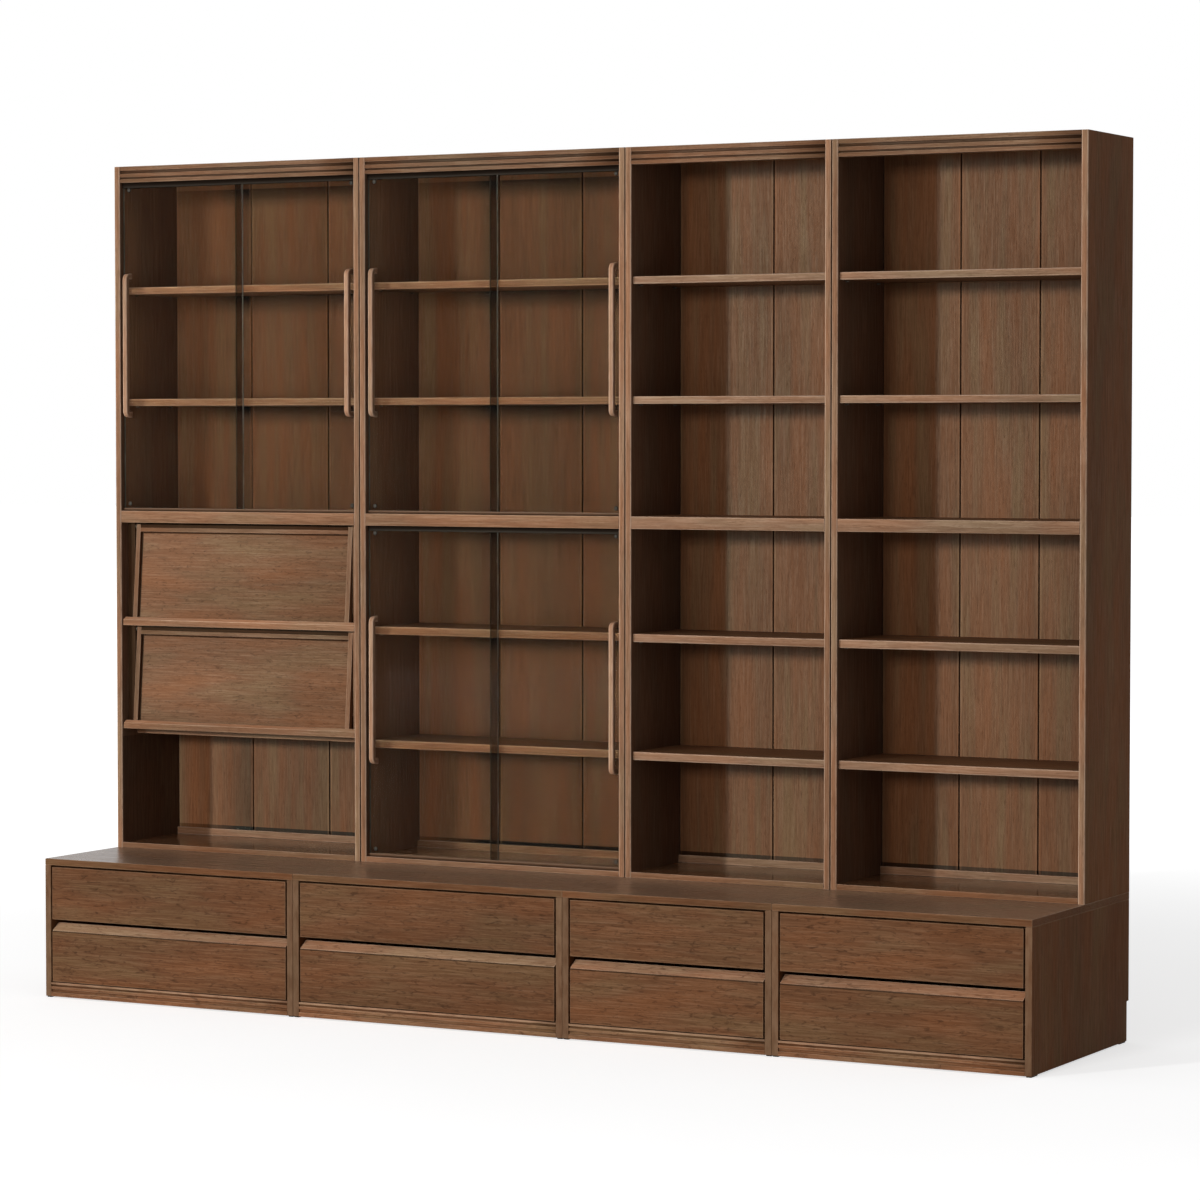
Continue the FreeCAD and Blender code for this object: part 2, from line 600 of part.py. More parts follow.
def flap_frame(number, face_height):
    """Two stiles, a bevelled top rail and a sloping ledge, about the pivot of the flap."""
    stiles = []
    bore_depth = "(pivot_reach + pivot_end_play)"
    for side, x, bore_x in (
            ("left", "0", f"-{PAST_FACE}"),
            ("right", f"{FLAP_WIDTH} - flap_stile", f"{FLAP_WIDTH} - {bore_depth}")):
        blank = box(f"flap_{number}_stile_{side}_blank", x, "-pivot_inset",
                    f"pivot_inset - {face_height}", "flap_stile", "flap_board", face_height)
        bore = doc.addObject("Part::Cylinder", f"flap_{number}_stile_{side}_bore")
        bind(bore, Radius="pivot_radius + pivot_play", Height=f"{bore_depth} + {PAST_FACE}")
        place(bore, bore_x, "0", "0")
        turn_along_x(bore)
        stiles.append(cut(f"flap_{number}_stile_{side}", blank, bore))
    corners = [(0, 0), ("flap_board", 0), ("flap_board", "flap_rail"),
               ("flap_bevel_depth", "flap_rail"), (0, "flap_rail - flap_bevel")]
    rail = profile(f"flap_{number}_rail", "YZ_Plane", corners, f"{FLAP_WIDTH} - 2 * flap_stile")
    place(rail, "flap_stile", "-pivot_inset", "pivot_inset - flap_rail")
    corners = [(0, 0), ("ledge_reach + ledge_seat", 0),
               ("ledge_reach + ledge_seat", "ledge_board"), ("ledge_reach", "ledge_board"),
               (0, "ledge_board - ledge_bevel")]
    ledge = profile(f"flap_{number}_ledge", "YZ_Plane", corners,
                    f"{INNER_WIDTH[1]} - 2 * ledge_side_gap")
    place(ledge, "ledge_side_gap - flap_side_gap - cheek", "-pivot_inset - ledge_reach",
          f"pivot_inset - {face_height} - ledge_board")
    return stiles + [rail, ledge]


def turn_along_x(item):
    item.setExpression("Placement.Rotation.Axis.y", "1")
    item.setExpression("Placement.Rotation.Axis.z", "0")
    item.setExpression("Placement.Rotation.Angle", "90")


def flaps():
    """Tilted display flaps, the pivots they hang on and the blocks they close against."""
    hardware = []
    for number, (pivot, face_height) in FLAPS.items():
        height = f"base_height + {pivot}"
        frame = group(f"flap_{number}_frame", flap_frame(number, face_height))
        place(frame, FLAP_LEFT, PIVOT_Y, height, "-flap_tilt")
        panel = box(f"flap_{number}_panel_board", "flap_stile", "flap_recess - pivot_inset",
                    f"pivot_inset - {face_height}", f"{FLAP_WIDTH} - 2 * flap_stile",
                    "flap_panel", f"{face_height} - flap_rail")
        panel = group(f"flap_{number}_panel", [panel])
        place(panel, FLAP_LEFT, PIVOT_Y, height, "-flap_tilt")
        for side in ("left", "right"):
            at_left = side == "left"
            strip_face = f"{INNER_LEFT[1]} + cheek" if at_left else f"{INNER_RIGHT[1]} - cheek"
            flange_x = strip_face if at_left else f"{strip_face} - pivot_flange_board"
            pin_x = strip_face if at_left else f"{strip_face} - flap_side_gap - pivot_reach"
            flange = doc.addObject("Part::Cylinder", f"pivot_{number}_{side}_flange")
            bind(flange, Radius="pivot_flange", Height="pivot_flange_board")
            place(flange, flange_x, PIVOT_Y, height)
            turn_along_x(flange)
            pin = doc.addObject("Part::Cylinder", f"pivot_{number}_{side}_pin")
            bind(pin, Radius="pivot_radius", Height="flap_side_gap + pivot_reach")
            place(pin, pin_x, PIVOT_Y, height)
            turn_along_x(pin)
            pivot_piece = doc.addObject("Part::Fuse", f"pivot_{number}_{side}")
            pivot_piece.Base = flange
            pivot_piece.Tool = pin
            hardware.append(pivot_piece)
            block_x = strip_face if at_left else f"{strip_face} - stop_size"
            drop = "(stop_drop + stop_height)"
            back = "(flap_board - pivot_inset + stop_gap)"
            block = box(f"stop_{number}_{side}", block_x, "0", "0",
                        "stop_size", "stop_size", "stop_height")
            place(block, block_x,
                  f"{PIVOT_Y} + {back} * cos(flap_tilt) - {drop} * sin(flap_tilt)",
                  f"{height} - {back} * sin(flap_tilt) - {drop} * cos(flap_tilt)",
                  "-flap_tilt")
            hardware.append(block)
    group("flap_hardware", hardware)


hutch_sides()
hutch_shelves()
hutch_carcass()
base_carcass()
door_tracks()
for unit_number in UNITS:
    for drawer_level in ("lower", "upper"):
        drawer_front(unit_number, drawer_level)
        drawer_box(unit_number, drawer_level)
for door_pair in DOOR_PAIRS:
    for door_side in ("left", "right"):
        door(door_pair, door_side)
flaps()
doc.recompute()

for item in doc.Objects:
    if "Invalid" in item.State or "Error" in item.State:
        raise RuntimeError(f"{item.Name} failed: {item.State}")
for label, (item, solids) in parts.items():
    if item.Shape.isNull() or not item.Shape.isValid():
        raise RuntimeError(f"{label} has no valid shape")
    if len(item.Shape.Solids) != solids:
        raise RuntimeError(f"{label} has {len(item.Shape.Solids)} solids, not {solids}")

os.makedirs("parts", exist_ok=True)
for label, (item, solids) in parts.items():
    item.Shape.exportStep(f"parts/{label}.step")
print(len(parts), "sub-parts written")
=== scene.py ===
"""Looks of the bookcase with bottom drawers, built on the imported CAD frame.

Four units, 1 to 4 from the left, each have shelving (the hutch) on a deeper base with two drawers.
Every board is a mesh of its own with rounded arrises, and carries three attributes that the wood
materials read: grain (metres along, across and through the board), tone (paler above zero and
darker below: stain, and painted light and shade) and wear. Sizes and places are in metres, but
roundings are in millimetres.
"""
import json
import math
import random

import bmesh
import bpy
from mathutils import Matrix, Vector


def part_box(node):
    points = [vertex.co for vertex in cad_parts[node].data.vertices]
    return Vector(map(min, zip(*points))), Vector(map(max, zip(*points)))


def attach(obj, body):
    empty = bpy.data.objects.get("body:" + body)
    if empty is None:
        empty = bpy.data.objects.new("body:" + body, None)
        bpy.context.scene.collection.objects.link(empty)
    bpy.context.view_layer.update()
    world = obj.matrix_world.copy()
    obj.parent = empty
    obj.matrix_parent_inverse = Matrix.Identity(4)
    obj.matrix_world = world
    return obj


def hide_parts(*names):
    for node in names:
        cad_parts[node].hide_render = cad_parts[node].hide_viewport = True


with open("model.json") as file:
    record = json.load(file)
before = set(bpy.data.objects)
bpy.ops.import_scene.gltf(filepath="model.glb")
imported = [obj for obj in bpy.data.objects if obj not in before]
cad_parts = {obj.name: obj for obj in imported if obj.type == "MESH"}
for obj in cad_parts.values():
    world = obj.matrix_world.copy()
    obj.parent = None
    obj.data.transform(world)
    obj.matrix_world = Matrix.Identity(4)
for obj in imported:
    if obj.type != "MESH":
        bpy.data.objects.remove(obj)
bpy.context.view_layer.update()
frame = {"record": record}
BODY_OF = {node: body for body, nodes in frame["record"]["behaviour"]["bodies"].items()
           for node in nodes}

# Sizes of the CAD model.
MM = 0.001
WIDTHS = {1: 0.800, 2: 0.810, 3: 0.590, 4: 0.690}
SEAM = 0.6 * MM        # gap between two units
BOARD = 18 * MM
DEPTH = 0.650
BASE = 0.380
HUTCH = 1.900
HUTCH_DEPTH = 0.310
FRONT = -DEPTH / 2
WALL = DEPTH / 2
HUTCH_FRONT = WALL - HUTCH_DEPTH
BACK_FACE = HUTCH_FRONT + 0.278
TOP = BASE + HUTCH
UNITS = (1, 2, 3, 4)
GLAZED = (1, 2)
LEFT = {u: sum(WIDTHS[v] for v in UNITS if v < u) - sum(WIDTHS.values()) / 2 for u in UNITS}
OUT_L = {u: LEFT[u] + SEAM / 2 for u in UNITS}
OUT_R = {u: LEFT[u] + WIDTHS[u] - SEAM / 2 for u in UNITS}
IN_L = {u: OUT_L[u] + BOARD for u in UNITS}
IN_R = {u: OUT_R[u] - BOARD for u in UNITS}

ARC = 3                # steps of a rounded arris
RING_STEP = 0.13       # spacing of the cross-sections along a board
BAND_CLEAR = 0.02      # no other cross-section is this near to a band's
UNEVEN = 0.25 * MM     # how far an arris wanders inwards
TINY = 1e-6
dice = random.Random(41)


# -------- shapes

def following(items):
    """The item after each item of a closed loop."""
    return items[1:] + items[:1]


def rounded(corners, radii, steps=ARC):
    """Outline with arcs in its corners. Returns points and, for each point, if it is on an arc.

    The radii are in millimetres: one for each corner, or one for all.
    """
    if not hasattr(radii, "__len__"):
        radii = [radii] * len(corners)
    points, arcs = [], []
    for i, corner in enumerate(corners):
        here = Vector(corner)
        before = Vector(corners[i - 1]) - here
        after = Vector(corners[(i + 1) % len(corners)]) - here
        if radii[i] <= 0:
            points.append(here)
            arcs.append(False)
            continue
        half = before.angle(after) / 2
        reach = min(radii[i] * MM / math.tan(half), before.length * 0.49, after.length * 0.49)
        start = here + before.normalized() * reach
        end = here + after.normalized() * reach
        for k in range(steps + 1):
            t = k / steps
            points.append(start * (1 - t) ** 2 + here * 2 * t * (1 - t) + end * t ** 2)
            arcs.append(True)
    return points, arcs


def turning(points):
    """1 for an outline that runs anticlockwise, -1 for one that runs clockwise."""
    area = sum(a.x * b.y - b.x * a.y for a, b in zip(points, following(points)))
    return 1 if area > 0 else -1


def inward(points):
    """Directions into an outline at its points, which move all its edges by the same distance."""
    sign = turning(points)
    result = []
    for before, point, after in zip(points[-1:] + points[:-1], points, following(points)):
        a = (point - before).normalized()
        b = (after - point).normalized()
        side = Vector((-a.y, a.x)) * sign
        normal = Vector((-(a.y + b.y), a.x + b.x)) * sign
        normal = side if normal.length < TINY else normal.normalized()
        result.append(normal / max(0.5, normal.dot(side)))
    return result


def deepest(points):
    """How far an outline can move inwards before one of its edges vanishes."""
    sign = turning(points)
    edges = [b - a for a, b in zip(points, following(points))]
    turns = [sign * math.atan2(a.x * b.y - a.y * b.x, a.dot(b))
             for a, b in zip(edges[-1:] + edges[:-1], edges)]
    bends = [math.tan(turn / 2) for turn in turns]
    return min(edge.length / (a + b)
               for edge, a, b in zip(edges, bends, following(bends)) if a + b > TINY)


def cut_from_log(lo, hi, grain):
    """A function from a place in a board to the wood's own coordinates, at random in the log."""
    wide, thin = sorted((i for i in range(3) if i != grain), key=lambda i: lo[i] - hi[i])
    middle = [(a + b) / 2 for a, b in zip(lo, hi)]
    along = dice.uniform(0, 40)
    across = dice.uniform(-0.06, 0.06)
    through = dice.choice((-1, 1)) * dice.uniform(0.025, 0.10)

    def coordinates(p):
        return p[grain] + along, p[wide] - middle[wide] + across, p[thin] - middle[thin] + through
    return coordinates


def put(name, data):
    """A new object in the scene."""
    thing = bpy.data.objects.new(name, data)
    bpy.context.scene.collection.objects.link(thing)
    return thing


AXES = {"x": (0, 1, 2), "y": (1, 0, 2), "z": (2, 0, 1)}


class Piece:
    """Collects closed solids into one mesh, with their grain, tone and wear."""

    def __init__(self, name):
        self.name = name
        self.verts, self.faces = [], []
        self.grain, self.tone, self.wear, self.slot, self.flat = [], [], [], [], []
        self.turn = None

    def extrude(self, section, axis, start, end, grain=None, end_round=0.8, tone=0.0,
                light=None, slot=0, uneven=UNEVEN, spread=1.0, ends=None, bands=()):
        """A section, in the other two axes in order, along an axis, with rounded ends.

        light(centre, normal, corner) may add to the tone at the corners of a face, such as a pale
        front edge. ends may give the cross-sections of an end as (distance, inset). A band is a
        stretch (low, high, extra) that begins and ends at a cross-section and has extra tone.
        """
        points, arcs = section
        directions = inward(points)
        e, a, b = AXES[axis]
        grain = e if grain is None else "xyz".index(grain)
        length = end - start
        end_round = min(end_round * MM, length / 4, 0.9 * deepest(points))
        if ends is None:
            ends = [(end_round * (1 - math.cos(t)), end_round * (1 - math.sin(t)))
                    for t in (0, math.pi / 4, math.pi / 2)] if end_round > 0 else [(0, 0)]
        straight = length - 2 * ends[-1][0]
        middle = max(1, round(straight / RING_STEP))
        places = [start + ends[-1][0] + straight * k / middle for k in range(1, middle)]
        for low, high, extra in bands:
            places = [s for s in places if not low - BAND_CLEAR < s < high + BAND_CLEAR]
            places += [low, high]
        rings = [(start + s, inset, True) for s, inset in ends]
        rings += [(s, 0, False) for s in sorted(places)]
        rings += [(end - s, inset, True) for s, inset in reversed(ends)]
        lo, hi = [0, 0, 0], [0, 0, 0]
        lo[e], hi[e] = start, end
        lo[a], hi[a] = min(p.x for p in points), max(p.x for p in points)
        lo[b], hi[b] = min(p.y for p in points), max(p.y for p in points)
        coordinates = cut_from_log(lo, hi, grain)
        own_tone = tone + spread * dice.uniform(-1, 1)
        first = len(self.verts)
        count = len(points)
        for s, inset, at_end in rings:
            for point, on_arc, direction in zip(points, arcs, directions):
                away = inset
                if on_arc and not at_end:
                    away += uneven * dice.random()
                place = [0, 0, 0]
                place[e] = s
                place[a] = point.x + direction.x * away
                place[b] = point.y + direction.y * away
                self.add_vert(place, coordinates)
        for r, (one, two) in enumerate(zip(rings, rings[1:])):
            between = (one[0] + two[0]) / 2
            ring_tone = own_tone + sum(extra for low, high, extra in bands if low < between < high)
            here = first + r * count
            there = here + count
            for i in range(count):
                j = (i + 1) % count
                short = (points[i] - points[j]).length < ARRIS_STEP
                worn = 1.0 if one[2] and two[2] else 0.8 if arcs[i] and arcs[j] and short else 0.0
                self.add_face([here + i, here + j, there + j, there + i], ring_tone, worn, light,
                              slot)
        for cap in (first, first + (len(rings) - 1) * count):
            self.add_face([cap + i for i in range(count)], own_tone + CAP_TONE, 0.0, light, slot,
                          True)

    def add_vert(self, place, coordinates):
        self.grain.append(coordinates(place))
        self.verts.append(Vector(place) if self.turn is None else self.turn @ Vector(place))

    def add_face(self, face, tone, worn, light=None, slot=0, flat=False):
        tones = [tone] * len(face)
        if light is not None:
            centre, normal = self.centre(face), self.normal(face)
            tones = [tone + light(centre, normal, self.verts[i]) for i in face]
        self.faces.append(face)
        self.tone.append(tones)
        self.wear.append(worn)
        self.slot.append(slot)
        self.flat.append(flat)

    def board(self, lo, hi, along, arris=1.4, **options):
        """A plain board between two corners, grain along an axis, with all arrises rounded."""
        e, a, b = AXES[along]
        outline = [(lo[a], lo[b]), (hi[a], lo[b]), (hi[a], hi[b]), (lo[a], hi[b])]
        self.extrude(rounded(outline, arris), along, lo[e], hi[e], **options)

    def centre(self, face):
        return sum((self.verts[i] for i in face), Vector()) / len(face)

    def normal(self, face):
        corners = [self.verts[i] for i in face]
        crosses = (one.cross(two) for one, two in zip(corners, following(corners)))
        return sum(crosses, Vector()).normalized()

    def paint(self, slot, chosen):
        """Gives the faces with a chosen normal another of the piece's materials."""
        for index, face in enumerate(self.faces):
            if chosen(self.normal(face)):
                self.slot[index] = slot

    def lathe(self, centre, axis, way, profile, turns):
        """A turned piece, which points one way (1 or -1) along an axis.

        The profile is (distance along the axis, radius) in millimetres, with both ends on it.
        """
        e, a, b = AXES[axis]
        rings = []
        coordinates = cut_from_log(centre, [c + MM for c in centre], e)
        for s, radius in profile:
            ring = []
            for k in range(turns if radius else 1):
                angle = 2 * math.pi * k / turns
                place = list(centre)
                place[e] += way * s * MM
                place[a] += radius * MM * math.cos(angle)
                place[b] += radius * MM * math.sin(angle)
                ring.append(len(self.verts))
                self.add_vert(place, coordinates)
            rings.append(ring if radius else ring * turns)
        for one, two in zip(rings, rings[1:]):
            for corners in zip(one, following(one), following(two), two):
                self.add_face(list(dict.fromkeys(corners)), 0.0, 0.0)

    def make(self, materials, slot="walnut_stain", node=None):
        """The Blender object, which rides on its node's body and stands for the node.

        The node has the piece's name without its last word, unless it is given.
        """
        node = node or self.name.rsplit("_", 1)[0]
        mesh = bpy.data.meshes.new(self.name)
        mesh.from_pydata([tuple(v) for v in self.verts], [], self.faces)
        for material in materials:
            mesh.materials.append(material)
        for name, kind, domain, key, values in (
                ("grain", "FLOAT_VECTOR", "POINT", "vector", [c for g in self.grain for c in g]),
                ("tone", "FLOAT", "CORNER", "value", [t for tones in self.tone for t in tones]),
                ("wear", "FLOAT", "FACE", "value", self.wear)):
            mesh.attributes.new(name, kind, domain).data.foreach_set(key, values)
        mesh.polygons.foreach_set("material_index", self.slot)
        work = bmesh.new()
        work.from_mesh(mesh)
        bmesh.ops.recalc_face_normals(work, faces=work.faces)
        work.to_mesh(mesh)
        work.free()
        mesh.polygons.foreach_set("use_smooth", [not flat for flat in self.flat])
        mesh.update()
        thing = put(self.name, mesh)
        shading = thing.modifiers.new("even_shading", "WEIGHTED_NORMAL")
        shading.weight = 60
        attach(thing, BODY_OF[node])
        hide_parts(node)


ARRIS_STEP = 4 * MM    # a longer step between two points on arcs is no arris
CAP_TONE = -0.6        # end grain takes more stain


# -------- materials

class Nodes:
    """Lays out the nodes of a material or of the world."""

    def __init__(self, owner, output="OutputMaterial"):
        self.owner = owner
        owner.use_nodes = True
        self.tree = owner.node_tree
        self.tree.nodes.clear()
        self.out = self.add(output)

    def add(self, kind, **settings):
        node = self.tree.nodes.new(f"ShaderNode{kind}")
        for key, value in settings.items():
            setattr(node, key, value)
        return node

    def link(self, source, target):
        self.tree.links.new(source, target)

    def feed(self, socket, value):
        if isinstance(value, bpy.types.NodeSocket):
            self.link(value, socket)
        elif value is not None:
            socket.default_value = value

    def math(self, operation, a, b=None, clamp=False):
        node = self.add("Math", operation=operation, use_clamp=clamp)
        self.feed(node.inputs[0], a)
        self.feed(node.inputs[1], b)
        return node.outputs[0]

    def times(self, a, b):
        return self.math("MULTIPLY", a, b)

    def plus(self, a, b):
        return self.math("ADD", a, b)

    def node(self, kind, settings=(), **sockets):
        """A node's output. Its sockets take other outputs, or values that are the same all over."""
        node = self.add(kind, **dict(settings))
        for name, value in sockets.items():
            socket = node.inputs[name.replace("_", " ")]
            if isinstance(value, tuple) and socket.type == "RGBA":
                value = (*value, 1.0)
            self.feed(socket, value)
        return node.outputs[0]

    def attribute(self, name, output="Fac"):
        return self.add("Attribute", attribute_name=name).outputs[output]

    def place(self):
        """Metres in the object's own axes."""
        return self.add("TexCoord").outputs["Object"]

    def stretch(self, vector, scale, offset=(0, 0, 0)):
        return self.node("Mapping", Vector=vector, Scale=scale, Location=offset)

    def noise(self, vector, scale=1.0, detail=2.0, roughness=0.5, distortion=0.0):
        return self.node("TexNoise", Vector=vector, Scale=scale, Detail=detail,
                         Roughness=roughness, Distortion=distortion)

    def range(self, value, low, high, to_low=0.0, to_high=1.0, kind="LINEAR"):
        return self.node("MapRange", {"interpolation_type": kind}, Value=value, From_Min=low,
                         From_Max=high, To_Min=to_low, To_Max=to_high)

    def mix(self, factor, a, b):
        """A mix of two colours, each a socket or three numbers."""
        node = self.add("Mix", data_type="RGBA")
        self.feed(node.inputs[0], factor)
        for socket, value in ((node.inputs[6], a), (node.inputs[7], b)):
            self.feed(socket, (*value, 1.0) if isinstance(value, tuple) else value)
        return node.outputs[2]

    def bump(self, height, strength, distance):
        return self.node("Bump", Height=height, Strength=strength, Distance=distance)

    def join(self, kind, *sources):
        """MixShader joins a factor and two shaders, AddShader two shaders."""
        node = self.add(kind)
        for socket, source in zip(node.inputs, sources):
            self.link(source, socket)
        return node.outputs[0]

    def finish(self, shader):
        """Connects the shader to the output. Returns the material or world."""
        self.link(shader, self.out.inputs[0])
        return self.owner


OLIVE_BROWN = (0.150, 0.081, 0.037)
BASE_BROWN = (0.155, 0.070, 0.032)
DARK_BROWN = (0.070, 0.026, 0.011)
RED_BROWN = (0.165, 0.063, 0.025)
WORN_BROWN = (0.300, 0.180, 0.106)
GREYER = (1.0, 1.24, 1.60)     # greys positive tone: pale stain, and the sheen of painted highlights
MOST_GREY = 0.8


def wood(name, base=BASE_BROWN, dark=DARK_BROWN, red=RED_BROWN, worn=WORN_BROWN,
         olive=OLIVE_BROWN, figure=0.30, dashes=0.22, blotch=0.80, fibre=0.42, tone_step=0.12,
         gloss=(0.40, 0.60), specular=0.06, bump=0.5, ring_pitch=7.0 * MM, curl=0.35,
         fleck=(13.0, 120.0), vary=0.14, patch=(3.2, 15.0), fade=0.18):
    """Stained open-pored wood. Colours are linear.

    figure, dashes, blotch and fibre say how strongly the growth rings, the dark streaks, the
    patches of other colour and the fibres show. A unit of tone changes the brightness by
    tone_step, and above zero makes the colour greyer by fade. fleck and patch are, like each
    stretch of the grain, in cycles per metre along the board and across it.
    """
    n = Nodes(bpy.data.materials.new(name))
    grain = n.attribute("grain", "Vector")
    tone = n.attribute("tone")
    wear = n.attribute("wear")
    parts = n.add("SeparateXYZ")
    n.link(grain, parts.inputs[0])

    def texture(along, across, offset=(0, 0, 0), **look):
        return n.noise(n.stretch(grain, (along, across, across), offset), **look)

    # Growth rings about a pith line that wanders along the board, which gives cathedrals.
    wander = texture(1.3, 5.0, roughness=0.55)
    ripple = texture(7.0, 34.0, (3.1, 0, 0), roughness=0.6)
    radius = n.math("SQRT", n.plus(n.math("POWER", parts.outputs["Y"], 2.0),
                                   n.math("POWER", parts.outputs["Z"], 2.0)))
    radius = n.plus(n.plus(radius, n.times(wander, 0.085)), n.times(ripple, 0.010))
    ring = n.math("FRACT", n.math("DIVIDE", radius, ring_pitch))
    late = n.times(n.range(ring, 0.15, 0.86), n.range(ring, 1.0, 0.90))

    # Fibres, open pores and short dark streaks, all stretched along the grain.
    fibres = texture(9.0, 330.0, (0, 1.7, 0), detail=4.0, roughness=0.68)
    streaks = texture(*fleck, (5.0, 0, 2.0), detail=3.0, roughness=0.62, distortion=curl)
    streaks = n.range(streaks, 0.54, 0.70)
    pores = n.range(texture(55.0, 1500.0, (0, 0, 9.0), detail=1.0), 0.60, 0.70)
    pores = n.times(pores, n.range(late, 0.0, 0.6, 1.0, 0.35))
    patches = texture(*patch, (0, 0, 4.0))

    colour = base
    for where, amount, layer in (
            (late, figure, dark),
            (n.range(patches, 0.45, 0.68), blotch, red),
            (n.range(patches, 0.50, 0.30), blotch, olive),
            (n.range(fibres, 0.42, 0.70), fibre, dark),
            (n.range(fibres, 0.50, 0.26), fibre * 0.55, worn),
            (streaks, dashes, tuple(c * 0.42 for c in dark)),
            (pores, 0.55, tuple(c * 0.35 for c in dark))):
        colour = n.mix(n.times(where, amount), colour, layer)

    # Rubbed arrises, then tone (stain, painted light and shade) varying broadly along the board.
    rub = n.times(wear, n.range(texture(22.0, 60.0), 0.32, 0.62, 0.25, 0.6))
    colour = n.mix(rub, colour, worn)
    pale = n.math("MINIMUM", n.math("MULTIPLY", tone, fade, clamp=True), MOST_GREY)
    greyer = n.add("VectorMath", operation="MULTIPLY")
    greyer.inputs[1].default_value = GREYER
    n.link(colour, greyer.inputs[0])
    colour = n.mix(pale, colour, greyer.outputs[0])
    broad = n.range(texture(1.1, 6.0, (7.0, 0, 0), detail=1.0), 0.30, 0.70, 1 - vary, 1 + vary)
    level = n.times(n.plus(n.times(tone, tone_step), 1.0), broad)
    colour = n.node("VectorMath", {"operation": "SCALE"}, Vector=colour, Scale=level)

    rough = n.math("ADD", n.range(fibres, 0.30, 0.72, *gloss), n.times(pores, 0.2), clamp=True)
    height = n.math("SUBTRACT", n.times(fibres, 0.6), n.times(pores, 0.9))
    height = n.math("SUBTRACT", height, n.times(streaks, 0.35))
    return n.finish(n.node("BsdfPrincipled", Base_Color=colour, Roughness=rough,
                           Specular_IOR_Level=specular, Normal=n.bump(height, bump, 0.4 * MM)))


rustic = wood("walnut_stain_rustic", figure=0.40, dashes=0.60, fibre=0.50, ring_pitch=11 * MM,
              curl=1.2, fleck=(26.0, 95.0), vary=0.16, specular=0.02, fade=0.06)
figured = wood("walnut_stain_figured", figure=0.35, dashes=0.46, blotch=0.90, fibre=0.40,
               ring_pitch=14 * MM, curl=1.0, fleck=(42.0, 150.0), vary=0.20, specular=0.03)
walnut = wood("walnut_stain")
matt = wood("walnut_stain_matt", specular=0.012)
# A redder copy of the walnut for the outer faces of sides, which are in shade: painted shade.
outer = wood("walnut_stain_shaded_outer", base=(0.150, 0.061, 0.023), dark=(0.066, 0.023, 0.008),
             red=(0.160, 0.056, 0.018), olive=(0.140, 0.070, 0.027), fibre=0.38, specular=0.012)
ruddy = wood("walnut_stain_ruddy", fade=0.06)
plank = wood("walnut_stain_plank", figure=0.26, blotch=1.0, fibre=0.28, vary=0.16,
             patch=(1.7, 26.0), fade=0.05)
# A greyer copy of the walnut for the inner walls, which are in shade: painted shade.
inner = wood("walnut_stain_shaded_inner", base=(0.135, 0.072, 0.042), red=(0.140, 0.066, 0.036),
             olive=(0.130, 0.078, 0.047), specular=0.10)
satin = wood("walnut_stain_satin", base=(0.150, 0.074, 0.038), red=(0.160, 0.069, 0.030),
             figure=0.20, dashes=0.12, blotch=0.5, fibre=0.30, gloss=(0.22, 0.36), specular=0.30,
             bump=0.25, vary=0.10)
polished = wood("walnut_stain_polished", figure=0.20, dashes=0.12, blotch=0.5, fibre=0.25,
                gloss=(0.10, 0.20), specular=0.5, bump=0.06, vary=0.10)
lining = wood("drawer_lining", base=(0.56, 0.40, 0.25), dark=(0.40, 0.25, 0.13),
              red=(0.58, 0.38, 0.22), worn=(0.66, 0.52, 0.36), olive=(0.50, 0.38, 0.24),
              figure=0.35, dashes=0.10, blotch=0.35, fibre=0.30, tone_step=0.06,
              gloss=(0.50, 0.70), bump=0.3, vary=0.10, fade=0.0)


def panes():
    """Smeared glass, darker where its tone is negative, which casts a light shadow."""
    n = Nodes(bpy.data.materials.new("clear_glass"))
    smear = n.noise(n.place(), scale=7.0, detail=4.0, roughness=0.6)
    tint = n.mix(n.range(smear, 0.40, 0.75), (0.92, 0.905, 0.875), (0.885, 0.865, 0.83))
    overlap = n.math("MULTIPLY", n.attribute("tone"), -1.0, clamp=True)
    tint = n.mix(overlap, tint, (0.40, 0.36, 0.31))
    clear = n.node("BsdfPrincipled", Base_Color=tint, IOR=1.07, Transmission_Weight=1.0,
                   Roughness=0.0)
    shadow = n.node("BsdfTransparent", Color=(0.34, 0.335, 0.33))
    light = n.add("LightPath")
    return n.finish(n.join("MixShader", light.outputs["Is Shadow Ray"], clear, shadow))


def pane_edges():
    """The ground edges of a pane."""
    n = Nodes(bpy.data.materials.new("glass_edge"))
    ripple = n.noise(n.stretch(n.place(), (90, 90, 12)), detail=3.0)
    colour = n.mix(n.range(ripple, 0.3, 0.7), (0.045, 0.048, 0.040), (0.090, 0.092, 0.078))
    rough = n.range(ripple, 0.3, 0.7, 0.12, 0.35)
    return n.finish(n.node("BsdfPrincipled", Base_Color=colour, Roughness=rough,
                           Specular_IOR_Level=0.25, Normal=n.bump(ripple, 0.3, 0.2 * MM)))


def plain(name, light, dark, rough, grain_scale, specular=0.4, metal=0.0, strength=0.4,
          height=0.15 * MM, stretch=(1, 1, 1)):
    """Moulded, felted or brushed stuff: two tones in a fine texture."""
    n = Nodes(bpy.data.materials.new(name))
    place = n.stretch(n.place(), tuple(grain_scale * s for s in stretch))
    fine = n.noise(place, detail=4.0, roughness=0.65)
    broad = n.noise(n.stretch(place, (0.06, 0.06, 0.06)))
    colour = n.mix(n.range(fine, 0.3, 0.7), light, dark)
    colour = n.mix(n.range(broad, 0.35, 0.75, 0.0, 0.4), colour, dark)
    roughness = n.range(fine, 0.25, 0.75, rough * 0.8, min(1.0, rough * 1.3))
    return n.finish(n.node("BsdfPrincipled", Base_Color=colour, Metallic=metal,
                           Specular_IOR_Level=specular, Roughness=roughness,
                           Normal=n.bump(fine, strength, height)))


